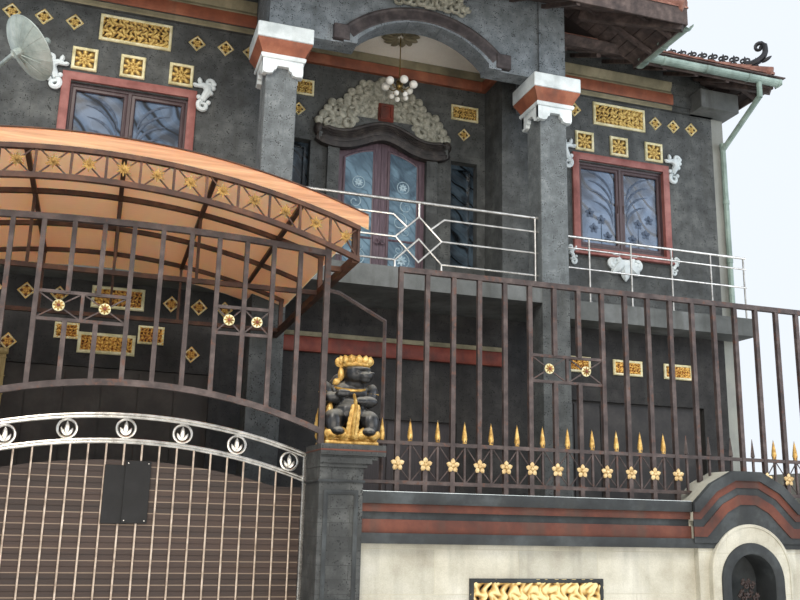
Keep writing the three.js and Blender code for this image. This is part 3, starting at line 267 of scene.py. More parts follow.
# %% The function that makes a piece
def piece(name, shape, finish, body="house", crisp=38):
    """A mesh object made of one shape or a list, riding on a body of the frame, with its finish and slot."""
    points, quads, triangles, tone = joined(*shape) if isinstance(shape, list) else shape
    mesh = bpy.data.meshes.new(name)
    loops = np.concatenate([quads.ravel(), triangles.ravel()]).astype(np.int32)
    sizes = np.concatenate([np.full(len(quads), 4), np.full(len(triangles), 3)])
    mesh.vertices.add(len(points))
    mesh.vertices.foreach_set("co", np.ascontiguousarray(points, np.float32).ravel())
    mesh.loops.add(len(loops))
    mesh.loops.foreach_set("vertex_index", loops)
    mesh.polygons.add(len(sizes))
    mesh.polygons.foreach_set("loop_start", (np.cumsum(sizes) - sizes).astype(np.int32))
    mesh.update(calc_edges=True)
    mesh.attributes.new("tone", "FLOAT", "POINT").data.foreach_set("value", tone.astype(np.float32))
    editable = bmesh.new()
    editable.from_mesh(mesh)
    bmesh.ops.remove_doubles(editable, verts=editable.verts, dist=0.00005)
    bmesh.ops.recalc_face_normals(editable, faces=editable.faces)
    editable.to_mesh(mesh)
    editable.free()
    mesh.shade_smooth()
    mesh.set_sharp_from_angle(angle=radians(crisp))
    made = bpy.data.objects.new(name.replace(" ", "_"), mesh)
    scene.collection.objects.link(made)
    made.data.materials.append(finish)
    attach(made, body)
    print(name, len(mesh.polygons), "faces")
    return made


def dress(finish, *nodes):
    """Puts a finish on CAD nodes through their objects' material slots."""
    for node in nodes:
        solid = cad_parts[node]
        if not solid.material_slots:
            solid.data.materials.append(finish)
        for holder in solid.material_slots:
            holder.material = finish


# %% [markdown]
# ## Colour and nodes
# Colours are written as sRGB hex, as read off a screen, and turned to linear light once. One function adds
# any node, with its settings and inputs. A wire is a (node, output) pair, so one step's result is simply
# handed to the next step as an input.

# %% Colour and the node functions
def linear(colour):
    """sRGB hex to linear RGBA: each channel c is c / 12.92, or ((c + 0.055) / 1.055) ** 2.4 above 0.04."""
    channels = [int(colour[i:i + 2], 16) / 255 for i in (1, 3, 5)]
    return [c / 12.92 if c <= 0.04045 else ((c + 0.055) / 1.055) ** 2.4 for c in channels] + [1]


def add(tree, kind, inputs=None, **settings):
    """One node: its settings, and its inputs, each a number, a hex colour or a (node, output) wire."""
    node = tree.nodes.new("ShaderNode" + kind)
    for name, value in settings.items():
        setattr(node, name, value)
    for name, value in (inputs or {}).items():
        if isinstance(value, tuple) and isinstance(value[0], bpy.types.Node):
            tree.links.new(value[0].outputs[value[1]], node.inputs[name])
        else:
            node.inputs[name].default_value = linear(value) if isinstance(value, str) else value
    return node


def noise(tree, vector, scale, detail, **more):
    """A cloudy noise from 0 to 1, with scale features a metre."""
    return add(tree, "TexNoise", {"Vector": vector, "Scale": scale, "Detail": detail, **more}), "Fac"


def remap(tree, value, low=0, high=1, to_low=0, to_high=1):
    """Low to high becomes to_low to to_high, and what lies beyond is cut off."""
    return add(tree, "MapRange", {"Value": value, "From Min": low, "From Max": high, "To Min": to_low,
                                  "To Max": to_high}), "Result"


def maths(tree, operation, first, second=0.5):
    """One operation on two numbers or wires."""
    return add(tree, "Math", {0: first, 1: second}, operation=operation), "Value"


def blended(tree, share, under, over, blend="MIX"):
    """Two colours: a share of over laid on under."""
    return add(tree, "Mix", {0: share, 6: under, 7: over}, data_type="RGBA", blend_type=blend), 2


def colours(tree, value, *stops):
    """A colour for each value, between stops of (place, colour)."""
    node = add(tree, "ValToRGB", {"Fac": value})
    marks = node.color_ramp.elements
    marks[0].position, marks[-1].position = stops[0][0], stops[-1][0]
    for place, _ in stops[1:-1]:
        marks.new(place)
    for mark, (_, colour) in zip(marks, stops):
        mark.color = linear(colour)
    return node, "Color"


def new_material(name):
    """A material with a Principled shader, its tree, and its Object coordinates as a wire."""
    material = bpy.data.materials.new(name)
    material.use_nodes = True
    return material, material.node_tree, (add(material.node_tree, "TexCoord"), "Object")


def wired(material, colour, roughness, height=None, strength=0.5, depth=1, **constants):
    """Wires colour, roughness and height, a bump of depth mm, to the shader; constants go on its sockets."""
    tree = material.node_tree
    shader = tree.nodes["Principled BSDF"]
    wires = [("Base Color", colour), ("Roughness", roughness)]
    if height:
        relief = add(tree, "Bump", {"Height": height, "Strength": strength, "Distance": depth * MM})
        wires.append(("Normal", (relief, "Normal")))
    for socket, (node, output) in wires:
        tree.links.new(node.outputs[output], shader.inputs[socket])
    for socket, value in constants.items():
        shader.inputs[socket].default_value = value
    return material


print("mid grey is", [round(c, 3) for c in linear("#808080")])

# %% [markdown]
# ## Stone, plaster and paint
# The walls are clad in sawn volcanic stone: a grey mass with darker and lighter clouds, open pits of a few
# millimetres to two centimetres, and thin joints between blocks. Painted plaster has the same build with
# other numbers: clouds of fading, fine grit, rain streaks and no pits. One recipe serves all of these, so
# every finish below is a few real sizes in millimetres and three colours.

# %% The recipe for mineral and painted surfaces
STREAK_COLOUR = "#3a3a34"


def worn(name, dark, base, light, cloud=600, grit=6, rough=0.85, bump=1, metallic=0, pits=None,
         pit_colour="#17191a", blocks=None, joint="#2a2c2d", streaks=0, rust=None, rust_share=0.5):
    """Clouds of three colours, grit, and, where asked, pits (mm), block joints (length, height, joint mm),
    rain streaks (strength) and rust patches (colour)."""
    material, tree, here = new_material(name)
    clouds = noise(tree, here, 1000 / cloud, 5, Roughness=0.62)
    grain = noise(tree, here, 1000 / grit, 3, Roughness=0.7)
    colour = blended(tree, 1, colours(tree, clouds, (0.32, dark), (0.5, base), (0.68, light)),
                     remap(tree, grain, 0.3, 0.7, 0.86, 1.12), "MULTIPLY")
    height = grain
    if pits:
        cells = add(tree, "TexVoronoi", {"Vector": here, "Scale": 1000 / pits, "Randomness": 1})
        hole = maths(tree, "SUBTRACT", (cells, "Distance"), noise(tree, here, 1000 / (pits * 3), 2))
        rim = remap(tree, hole, -0.34, -0.22)
        colour = blended(tree, rim, pit_colour, colour)
        height = maths(tree, "MULTIPLY", grain, rim)
    if blocks:
        length, tall, gap = blocks
        axes = add(tree, "SeparateXYZ", {"Vector": here})
        flat = add(tree, "CombineXYZ", {"X": maths(tree, "ADD", (axes, "X"), (axes, "Y")), "Y": (axes, "Z")})
        bond = add(tree, "TexBrick", {
            "Vector": (flat, "Vector"), "Scale": 1, "Brick Width": length * MM, "Row Height": tall * MM,
            "Mortar Size": gap * MM, "Mortar Smooth": 0.3, "Color1": "#ffffff", "Color2": "#d4d6d8",
            "Mortar": "#000000"})
        toned = blended(tree, 0.55, colour, (bond, "Color"), "MULTIPLY")
        colour = blended(tree, (bond, "Fac"), toned, joint)
        height = maths(tree, "ADD", height, maths(tree, "MULTIPLY", (bond, "Fac"), -0.8))
    if streaks:
        stretch = add(tree, "Mapping", {"Vector": here, "Scale": (1, 1, 0.12)})
        runs = noise(tree, (stretch, "Vector"), 7, 5)
        colour = blended(tree, remap(tree, runs, 0.52, 0.7, 0, streaks), colour, STREAK_COLOUR)
    if rust:
        eaten = remap(tree, noise(tree, here, 14, 8, Roughness=0.7), rust_share, rust_share + 0.08)
        colour = blended(tree, eaten, colour, rust)
        height = maths(tree, "ADD", height, eaten)
    roughness = remap(tree, grain, to_low=rough - 0.12, to_high=rough + 0.12)
    return wired(material, colour, roughness, height, 0.5, bump, Metallic=metallic)


# sawn andesite, dark from soot and damp: wide soft clouds, pits of 10 to 20 mm, joints that hardly show
dark_stone = worn("sawn dark volcanic stone", "#3a3c3c", "#4c4f4f", "#616463", 260, 7, 0.88, 2, pits=24,
                  blocks=(600, 300, 2), joint="#3c3e3e", streaks=0.3, pit_colour="#2b2d2d")
# the same stone, paler and more open, as sawn blocks on the columns and the arch wall
pale_stone = worn("sawn pale volcanic stone", "#565b5d", "#686e70", "#7c8284", 120, 5, 0.85, 2, pits=20,
                  blocks=(400, 300, 2), joint="#54595b", streaks=0.15, pit_colour="#3a3d3e")
arch_stone = worn("sawn grey volcanic stone", "#62696d", "#767e83", "#8c9499", 180, 6, 0.86, 2, pits=22,
                  blocks=(500, 250, 2), joint="#5e6569", streaks=0.2, pit_colour="#3b4043")
# gate posts: small blocks with wider joints, dusty in the middle where rain does not reach
post_stone = worn("dusty dark stone blocks", "#2c2e2e", "#3b3d3d", "#545655", 200, 5, 0.9, 1.6, pits=18,
                  blocks=(300, 100, 2), joint="#2c2e2e", streaks=0.3, pit_colour="#242626")
# moulded heads and bands, painted a dark brown-grey over the stone
head_stone = worn("dark brown-grey moulded stone", "#2c2828", "#403a3b", "#58514f", 160, 4, 0.72, 1,
                  streaks=0.2)
door_head_stone = worn("near-black carved door head", "#1a1716", "#292423", "#46403c", 110, 4, 0.6, 1,
                       streaks=0.15)
# the ground storey's stone is a darker copy of the wall stone: painted shade, for the shade under the balcony
# and the canopy
painted_shade_stone = worn("volcanic stone with painted shade", "#1f1f1f", "#2b2a2a", "#3a3938", 260, 7, 0.9, 2, pits=24,
                   blocks=(600, 300, 2), joint="#1c1c1c", streaks=0.3, pit_colour="#171717")
trim_stone = worn("near-black stone trim", "#1d2022", "#2b2f31", "#43484a", 300, 5, 0.8, 1.5, streaks=0.2)
# soft sandstone carving, greyed by mould in its hollows
carved_stone = worn("weathered carved sandstone", "#6c6d60", "#96968a", "#b4b3a5", 60, 4, 0.9, 1.6)
concrete = worn("painted concrete", "#454847", "#585b5a", "#6d7070", 700, 8, 0.85, 1, streaks=0.5)
render = worn("cement render", "#73756f", "#868883", "#96988f", 1100, 10, 0.9, 1.2, streaks=0.3)
cream_plaster = worn("cream painted plaster", "#a19c8c", "#bab7a8", "#c9c7bb", 500, 7, 0.8, 0.8,
                     blocks=(700, 330, 3), joint="#aeaa98", streaks=0.25)
ceiling_paint = worn("cream ceiling paint", "#e6e3d7", "#f3f0e6", "#fbf9f1", 900, 6, 0.8, 0.4)
beige_paint = worn("beige painted moulding", "#67624f", "#7e7861", "#938c74", 400, 5, 0.8, 0.5, streaks=0.3)
brick_paint = worn("brick-orange paint", "#6e3d2b", "#854c35", "#996046", 300, 5, 0.7, 0.5, streaks=0.25)
wall_red = worn("brown-red paint on plaster", "#3b1e15", "#52291c", "#663727", 300, 5, 0.75, 0.6, streaks=0.4)
red_paint = worn("dull red paint", "#521f16", "#6f2e21", "#86402f", 260, 5, 0.65, 0.5, streaks=0.35)
white_paint = worn("white gloss paint on plaster", "#b0babc", "#cad3d5", "#dee6e7", 300, 4, 0.5, 0.6,
                   streaks=0.12)
terracotta = worn("terracotta paint", "#6e3a34", "#86504a", "#98635c", 250, 4, 0.6, 0.5, streaks=0.12)
TILE_COLOURS = ("#5c3b31", "#7c5448", "#9c7566")
clay_tile = worn("weathered clay roof tile", *TILE_COLOURS, 160, 4, 0.85, 1.2, streaks=0.3)
black_clay = worn("black fired clay", "#0c0d11", "#16181f", "#272a34", 120, 4, 0.6, 0.8)
soffit_wood = worn("brown stained boards", "#2e2625", "#453a37", "#5e514c", 130, 3, 0.75, 0.6)
print("mineral and painted finishes made:", len(bpy.data.materials))

# %% [markdown]
# ## Metal, sheet and timber
# The street front is square steel tube under brown paint that has rusted through in patches; the sliding
# gate and the railings are polished stainless tube, dulled by dust; the canopy is a copper-coloured coated
# sheet. Joinery is dark stained hardwood, whose grain is a noise pulled long along the stile.

# %% Metals and coated sheet
rusty_steel = worn("brown paint over rusting steel", "#312827", "#433937", "#5a4e4b", 120, 4, 0.6, 0.6,
                   metallic=0.2, rust="#563a2f", rust_share=0.56, streaks=0.1)
truss_steel = worn("red-brown painted truss", "#2b1a13", "#40271b", "#5c3c29", 160, 4, 0.55, 0.5,
                   metallic=0.2, rust="#4c2a1c", rust_share=0.6)
gutter_paint = worn("green-grey gutter paint", "#64766f", "#82958d", "#9dafa6", 350, 4, 0.5, 0.4,
                    metallic=0.1, streaks=0.3)
dish_metal = worn("grey painted dish", "#7b8783", "#9aa5a0", "#b4bcb8", 260, 4, 0.45, 0.3, metallic=0.2,
                  streaks=0.15)
stainless = worn("dusty polished stainless tube", "#a9a6a0", "#cdcac4", "#e4e2dd", 90, 2, 0.26, 0.15,
                 metallic=0.9)
rod_steel = worn("rain-stained stainless rod", "#a39080", "#c9b6a3", "#e4d3c2", 90, 3, 0.4, 0.2, metallic=0.5)
dark_steel = worn("dusty dark steel panel", "#1c1a19", "#2a2725", "#3a3633", 300, 4, 0.6, 0.5, metallic=0.2)
# bronze-gold paint on the cast flowers, spear tips and the statues' ornaments
gold_paint = worn("gold paint", "#84632c", "#bb934c", "#dcc07c", 40, 3, 0.42, 0.8, metallic=0.35)
old_gold = worn("dull gold paint", "#5e4722", "#8f6d34", "#b38f4e", 60, 3, 0.5, 0.8, metallic=0.35)
# hard black paint on carved stone; its upward faces are paler, from street dust and a painted highlight
black_paint = worn("black painted stone", "#08090a", "#101113", "#24262a", 60, 4, 0.34, 0.8)
cream_gold = worn("cream and gold paint", "#9a7c4c", "#c6aa78", "#ddc89c", 40, 3, 0.5, 0.8)
brass = worn("tarnished brass", "#6d5a34", "#96804e", "#b8a26a", 60, 3, 0.35, 0.3, metallic=0.9)
print("with metals:", len(bpy.data.materials))

# %% Timber with long grain
def timber(name, dark, base, light, grain=14, along=(1, 1, 0.06), rough=0.45, boards=None, joint=None):
    """Grain is a noise squeezed along one axis and warped a little; boards (mm of height) gives each board
    its own tint and draws the joint above it."""
    material, tree, here = new_material(name)
    stretch = add(tree, "Mapping", {"Vector": here, "Scale": along})
    fibre = noise(tree, (stretch, "Vector"), 1000 / grain, 6, Roughness=0.7, Distortion=0.6)
    colour = colours(tree, fibre, (0.3, dark), (0.5, base), (0.72, light))
    if boards:
        turn = maths(tree, "MULTIPLY", (add(tree, "SeparateXYZ", {"Vector": here}), "Z"), 1000 / boards)
        pick = add(tree, "TexWhiteNoise", {"W": maths(tree, "FLOOR", turn)}, noise_dimensions="1D")
        tint = remap(tree, (pick, "Value"), to_low=0.72, to_high=1.2)
        toned = blended(tree, 1, colour, tint, "MULTIPLY")
        colour = blended(tree, remap(tree, maths(tree, "FRACT", turn), 0.02, 0.1), joint, toned)
    roughness = remap(tree, fibre, to_low=rough - 0.1, to_high=rough + 0.15)
    return wired(material, colour, roughness, fibre, 0.3, 0.4)


door_wood = timber("dark stained hardwood", "#382c33", "#57464f", "#75636d", 16)
# the entrance door is a darker copy of the door wood: painted shade under the balcony and the canopy
painted_shade_door_wood = timber("entrance boards darkened as painted shade", "#1a1415", "#272021", "#383032", 16)
frame_wood = timber("red-brown casement wood", "#261b1c", "#3f2f31", "#56454a", 12)
# the canopy is a coloured plastic sheet drawn with fine lines along its curve; daylight comes through it
copper_sheet = timber("copper-coloured translucent sheet", "#a97655", "#c48f6b", "#dcab84", 24,
                      (0.035, 1, 1), 0.4)
sheet_shader = copper_sheet.node_tree.nodes["Principled BSDF"]
sheet_shader.inputs["Subsurface Weight"].default_value = 1
sheet_shader.inputs["Subsurface Radius"].default_value = (1, 0.6, 0.35)
sheet_shader.inputs["Subsurface Scale"].default_value = 60 * MM
# wood-grained slats behind the gate rods, 85 mm each, no two of the same brown
slat_wood = timber("brown slat boards", "#2a1d18", "#35261f", "#403026", 20, (0.05, 1, 1), 0.6, boards=85,
                   joint="#8f7d6b")
bamboo = timber("dry bamboo blind", "#7a6a44", "#a08c5e", "#bda878", 9, (1, 1, 0.04), 0.7)
print("with timbers:", len(bpy.data.materials))

# %% [markdown]
# ## Glass and gilding
# The panes are etched, and their blue-grey is a painted reflection of the sky, with dark swung strokes and
# frosted leaves. Gilt
# panels are carved and painted: gold on the high leaves, brown-black in the holes, and rubbed gold with a
# painted highlight on the highest places. The carving's own tone attribute drives that, so the paint follows
# the chisel and not a picture.

# %% Etched glass, gilding and lamp glass
def etched_glass(name, deep, sky, stroke, scale=1.5, rough=0.12):
    """Broad curved bands, a bent wave, cross a clouded pane whose two colours are a painted reflection of the
    sky; the dark strokes are narrow cuts of the wave.
    """
    material, tree, here = new_material(name)
    pane = colours(tree, noise(tree, here, 3.2, 3, Distortion=0.8), (0.36, deep), (0.6, sky))
    wave = add(tree, "TexWave", {"Vector": here, "Scale": scale, "Distortion": 7, "Detail": 1.5,
                                 "Detail Scale": 0.9},
               wave_type="BANDS", bands_direction="DIAGONAL")
    line = colours(tree, (wave, "Fac"), (0, "#ffffff"), (0.1, "#000000"))
    frosted = remap(tree, (wave, "Fac"), to_low=rough, to_high=rough + 0.2)
    return wired(material, blended(tree, line, pane, stroke), frosted, IOR=1.52)


def gilded(name, hollow, leafage, rubbed_gold_and_highlight, rough=0.42, metallic=0.4):
    """Colour by the carving's tone: hollow, then leaf, then the rubbed high places with a painted highlight, a
    little uneven.
    """
    material, tree, here = new_material(name)
    tone = add(tree, "Attribute", attribute_name="tone")
    rub = noise(tree, here, 60, 4)
    uneven = maths(tree, "ADD", (tone, "Fac"), remap(tree, rub, to_low=-0.22, to_high=0.22))
    colour = colours(tree, uneven, (0.02, hollow), (0.34, leafage), (0.8, rubbed_gold_and_highlight))
    roughness = remap(tree, rub, to_low=rough - 0.12, to_high=rough + 0.18)
    return wired(material, colour, roughness, rub, 0.4, 1.2, Metallic=metallic)


# the panes' deep and pale blue-greys are a painted reflection of the sky
window_glass = etched_glass("etched window glass", "#1e2836", "#52667f", "#0a0d12")
door_glass = etched_glass("etched door glass", "#33495a", "#6a8799", "#46606f", 4.5, 0.2)
side_glass = etched_glass("etched side-light glass", "#1d262e", "#3f4e5a", "#0c0f12", 2.2, 0.16)
frosting = worn("frosted etching", "#7c96a5", "#9db5c1", "#bccfd8", 60, 3, 0.6, 0.2)
dark_etching = worn("dark etched line", "#2c3747", "#3c4a5e", "#4f5e74", 60, 3, 0.6, 0.2)
# the last colour of each carving is rubbed paint with a painted highlight on the highest places
gilt = gilded("gilded scroll carving", "#2e2110", "#94743a", "#cbae66")
carved_brown = gilded("brown stained carving", "#2a1c17", "#70503e", "#a8866e", 0.55, 0)
gilt_red = gilded("gilding on a brown ground", "#4a2a1a", "#a8713a", "#d2a552")
stone_relief = gilded("painted village relief", "#6a4f2a", "#b8934f", "#dfcc94", 0.6, 0.1)
cream_frame = worn("cream painted frame", "#b3aa7e", "#d5cda2", "#e6dfbf", 120, 4, 0.7, 0.6, streaks=0.15)
lamp_glass = worn("opal lamp glass", "#e2e0d4", "#efeee6", "#fbfaf4", 80, 3, 0.22, 0.1)
black_plate = worn("matt black sign plate", "#090909", "#0e0e0f", "#161617", 120, 3, 0.75, 0.2)
print("all finishes:", len(bpy.data.materials))

# %% [markdown]
# ## Dressing the solids
# Most walls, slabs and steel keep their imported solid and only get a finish. A node that needs carved,
# turned or moulded work is replaced further down.

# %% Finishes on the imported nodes
def faced(material, colour, low, high):
    """Lays a colour over the faces by how far they look up: share = (normal's Z - low) / (high - low)."""
    tree = material.node_tree
    under = tree.nodes["Principled BSDF"].inputs["Base Color"]
    source = under.links[0].from_node
    before = (source, list(source.outputs).index(under.links[0].from_socket))
    lean = add(tree, "SeparateXYZ", {"Vector": (add(tree, "NewGeometry"), "Normal")})
    node, output = blended(tree, remap(tree, (lean, "Z"), low, high), before, colour)
    tree.links.new(node.outputs[output], under)


roof_shell = worn("clay roof with brown boards beneath", *TILE_COLOURS, 160, 4, 0.85, 1.2, streaks=0.3)
# brown boards where the roof looks down, a painted glow of daylight on the canopy sheet's underside, and on
# the guardians' upward faces pale street dust with a painted highlight
faced(roof_shell, "#2c2423", -0.2, -0.4)
faced(copper_sheet, "#ffe8cd", -0.2, -1.25)
faced(black_paint, "#b4b1a8", 0.3, 1.4)
dress(painted_shade_stone, "ground_front_wall")
dress(dark_stone, "upper_wall_left", "upper_wall_right", "recess_wall", "door_surround")
dress(arch_stone, "portico_wall")
dress(render, "side_wall_left", "side_wall_right", "back_wall", "boundary_wall_left", "boundary_wall_right")
dress(concrete, "floor_slab", "upper_slab")
dress(ceiling_paint, "portico_ceiling")
dress(roof_shell, "main_roof", "centre_roof")
dress(gutter_paint, "gutter_left", "gutter_right")
dress(window_glass, "window_glass_left", "window_glass_right", "back_glass_lower", "back_glass_upper")
dress(side_glass, "recess_glass")
dress(door_wood, "balcony_door")
dress(painted_shade_door_wood, "entrance_door")
dress(dark_steel, "folding_door_left", "folding_door_right", "gate_track")
dress(dish_metal, "satellite_dish")
dress(copper_sheet, "canopy_sheet")
dress(truss_steel, "canopy_truss", "canopy_frame", "canopy_side_left", "canopy_side_right",
      "canopy_tie_front", "canopy_tie_back")
dress(post_stone, "gate_post_left", "gate_post_right")
dress(cream_plaster, "front_wall")
dress(rusty_steel, "front_fence", "gate_grille")
dress(slat_wood, "gate_slats")
print("the frame has", len(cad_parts), "solids")

# %% [markdown]
# ## Tile courses
# The roof is covered in courses of small clay tiles: each course is a wavy strip whose lower edge stands a
# tile's thickness proud of the course below. One function lays the courses on any roof face. A face is
# given by its eave corner, the way along the eave and the way uphill, and two limits along the eave that
# change with the distance from it, because hips and valleys cut the courses at 45 degrees.

# %% Roof sizes and the course function
SLOPE = 0.5
EAVE_TOP, CENTRE_EAVE_TOP = 7.96, 7.86
ROOF_HALF, ROOF_FRONT, ROOF_BACK = 5.45, -0.85, 8.45
CENTRE_HALF, CENTRE_FRONT = 3.12, -2.05
COURSE, TILE_WIDTH, TILE_THICK, TILE_WAVE = 0.25, 0.22, 0.018, 0.016
RUN = (ROOF_BACK - ROOF_FRONT) / 2
VALLEY_TOP, VALLEY_FOOT = 2.07, 2.92


def courses(eave_point, along, uphill, eave_z, run, low, high):
    """Strips of tiles. Height over the slope is wave * (0.5 + 0.5 cos(2 pi s / width)) plus the thickness at
    a course's foot, s being the way along the eave, cut to low(distance) and high(distance)."""
    eave_point, along, uphill = (np.asarray(v, float) for v in (eave_point, along, uphill))
    strips = []
    for number in range(int(np.ceil(run / COURSE))):
        foot = number * COURSE - (0.03 if number == 0 else 0)
        head = min((number + 1) * COURSE, run)
        foot_low, foot_high, head_low, head_high = low(foot), high(foot), low(head), high(head)
        start, end = min(foot_low, head_low), max(foot_high, head_high)
        if end - start < 0.05:
            continue
        way = np.arange(start, end + TILE_WIDTH / 6, TILE_WIDTH / 6)
        wave = TILE_WAVE * (0.5 + 0.5 * np.cos(2 * pi * (way / TILE_WIDTH + 0.5 * (number % 2))))
        lower, upper = np.clip(way, foot_low, foot_high), np.clip(way, head_low, head_high)
        rows = []
        for place, distance, lift in ((lower, foot, 0 * wave), (lower, foot, wave + TILE_THICK),
                                      (upper, head, wave + 0.003)):
            flat = eave_point[None, :] + place[:, None] * along + distance * uphill
            rows.append(np.column_stack([flat, eave_z + distance * SLOPE + lift]))
        strips.append(net(np.array(rows)))
    return joined(*strips)


slopes = [courses((0, ROOF_FRONT), (-side, 0), (0, 1), EAVE_TOP, RUN,
                  lambda d: d - ROOF_HALF, lambda d: min(d - VALLEY_FOOT, 0)) for side in (1, -1)]
slopes.append(courses((0, ROOF_BACK), (1, 0), (0, -1), EAVE_TOP, RUN, lambda d: d - ROOF_HALF,
                      lambda d: ROOF_HALF - d))
slopes += [courses((side * ROOF_HALF, 0), (0, 1), (-side, 0), EAVE_TOP, RUN,
                   lambda d: ROOF_FRONT + d, lambda d: ROOF_BACK - d) for side in (-1, 1)]
piece("main roof tile courses", slopes, clay_tile, crisp=50)
centre = [courses((0, CENTRE_FRONT), (1, 0), (0, 1), CENTRE_EAVE_TOP, CENTRE_HALF,
                  lambda d: d - CENTRE_HALF, lambda d: CENTRE_HALF - d)]
centre += [courses((side * CENTRE_HALF, 0), (0, 1), (-side, 0), CENTRE_EAVE_TOP, CENTRE_HALF,
                   lambda d: CENTRE_FRONT + d,
                   lambda d: max(ROOF_FRONT, CENTRE_FRONT + 1 + d)) for side in (-1, 1)]
piece("centre roof tile courses", centre, clay_tile, crisp=50)

# %% [markdown]
# ## Hip and ridge caps, and the black fretwork
# Half-round caps overlap along the hips and ridges. A tube whose radius steps up at each cap gives them in
# one go. On the front hips and the ridge stands black fired fretwork: pairs of small volutes between
# pointed buds, which end in a tall curl at the eave corner.

# %% Caps
def cap_line(start, end, radius=0.085, cap=0.3):
    """A tube whose radius is radius * (1 + 0.22 * (1 - f)), f being how far along its own cap a point is."""
    start, end = np.asarray(start, float), np.asarray(end, float)
    length = np.linalg.norm(end - start)
    count = int(length / cap)
    t = np.repeat(np.arange(count + 1), 2)[1:-1] / count
    fraction = np.tile([0, 1], count)
    path = start + (t + np.tile([1e-4, -1e-4], count))[:, None] * (end - start)
    along = (end - start) / length
    side = np.cross(along, [0, 0, 1])
    side /= np.linalg.norm(side)
    return tube(path, radius, 10, np.cross(side, along), scale=1 + 0.22 * (1 - fraction))


ridge_z = EAVE_TOP + RUN * SLOPE
ridge_y = (ROOF_FRONT + ROOF_BACK) / 2
ridge_half = ROOF_HALF - RUN
centre_ridge_z = CENTRE_EAVE_TOP + CENTRE_HALF * SLOPE
caps = [cap_line((-ridge_half, ridge_y, ridge_z), (ridge_half, ridge_y, ridge_z)),
        cap_line((0, CENTRE_FRONT + CENTRE_HALF, centre_ridge_z), (0, VALLEY_TOP, centre_ridge_z))]
for side in (-1, 1):
    for corner_y in (ROOF_FRONT, ROOF_BACK):
        caps.append(cap_line((side * ROOF_HALF, corner_y, EAVE_TOP), (side * ridge_half, ridge_y, ridge_z)))
    caps.append(cap_line((side * CENTRE_HALF, CENTRE_FRONT, CENTRE_EAVE_TOP),
                         (0, CENTRE_FRONT + CENTRE_HALF, centre_ridge_z)))
piece("hip and ridge cap tiles", caps, clay_tile, crisp=50)


# %% Fretwork
def fretwork(length, rise, pitch=0.15, tall=0.14):
    """A strip in X and Z over a base that climbs by rise: two volutes and a bud at each step."""
    base = np.array([[0, 0, 0], [length, 0, length * rise]])
    parts = [tube(base, 0.028, 6, squash=1.2)]
    for number in range(int(length / pitch)):
        x = (number + 0.5) * pitch
        z = x * rise + 0.02
        parts += [volute((x - hand * pitch * 0.24, 0, z + tall * 0.42), tall * 0.42, 1.1, -pi / 2, hand, 0.3,
                         1.1, 10, 5)
                  for hand in (1, -1)]
        parts.append(leaf((x, 0, z), pi / 2, tall, 0.05, steps=5, sides=5))
    return parts


def laid(shape, heading, place):
    """The same shape turned about Z by heading, then moved to place."""
    spin = np.array([[cos(heading), -sin(heading), 0], [sin(heading), cos(heading), 0], [0, 0, 1]])
    return (shape[0] @ spin.T + np.asarray(place),) + shape[1:]


HIP_LENGTH = 4.45
hip_rise = SLOPE / sqrt(2)
curl = [tube([[0.25 - 0.32 * t - 0.12 * sin(pi * t), 0, 0.1 + 0.34 * t ** 1.6] for t in np.linspace(0, 1, 8)],
             0.058, 8, squash=0.8, scale=np.linspace(1.1, 0.75, 8)),
        volute((0.02, 0, 0.4), 0.1, 1.1, pi, -1, 0.34, 1, 14, 7),
        leaf((0, 0, 0.1), radians(150), 0.2, 0.07), leaf((0.12, 0, 0.05), radians(120), 0.24, 0.07)]
hip_strip = joined(*fretwork(HIP_LENGTH, hip_rise), scaled(joined(*curl), (0.84, 1.3, 0.84)))
for side, word in SIDES:
    place = (side * (ROOF_HALF - 0.09), ROOF_FRONT + 0.09, EAVE_TOP + 0.12)
    strip = laid(hip_strip, radians(90 + 45 * side), place)
    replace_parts(piece("hip fretwork " + word, strip, black_clay), "crest_" + word)
ridge_strip = [shifted(part, (-ridge_half, ridge_y, ridge_z + 0.1)) for part in fretwork(2 * ridge_half, 0)]
finials = [shifted(joined(egg((0, 0, 0.12), (0.08, 0.08, 0.09)), egg((0, 0, 0.25), (0.05, 0.05, 0.07)),
                          leaf((0, 0, 0.28), pi / 2, 0.2, 0.08)), (x, ridge_y, ridge_z + 0.08))
           for x in (-ridge_half, ridge_half)]
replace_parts(piece("ridge fretwork", ridge_strip + finials, black_clay), "ridge_crest")

# %% [markdown]
# ## Soffit boards, rafters and gutter joints
# From the street the roof is seen from below: brown boards laid along the eave on rafters, a hip rafter at
# each corner and a deep fascia board. The boards are one narrow profile carried round the eave and mitred
# at the corners, once for each board. The gutters get the socket rings that join their lengths.

# %% Boards, rafters and fascia
def eave_path(inset, stop):
    """The line round the main eave, inset inwards, round the back; stop is half the gap in front."""
    x, near, far = ROOF_HALF - inset, ROOF_FRONT + inset, ROOF_BACK - inset
    return [(-stop, near, 0), (-x, near, 0), (-x, far, 0), (x, far, 0), (x, near, 0), (stop, near, 0)]


def centre_eave_path(inset, z):
    """The line round the centre roof's three eaves at height z, inset inwards."""
    x, near = CENTRE_HALF - inset, CENTRE_FRONT + inset
    return [(-x, ROOF_FRONT, z), (-x, near, z), (x, near, z), (x, ROOF_FRONT, z)]


def board_ring(path, inset, under, width=0.13, thick=0.016):
    """One board: a thin strip on the slope, its low edge at the path and its high edge further in."""
    low = under + inset * SLOPE
    strip = [(0, low - thick), (0, low - 0.002), (-width, low - 0.002 + width * SLOPE),
             (-width, low - thick + width * SLOPE)]
    return carry(strip, path, UP)


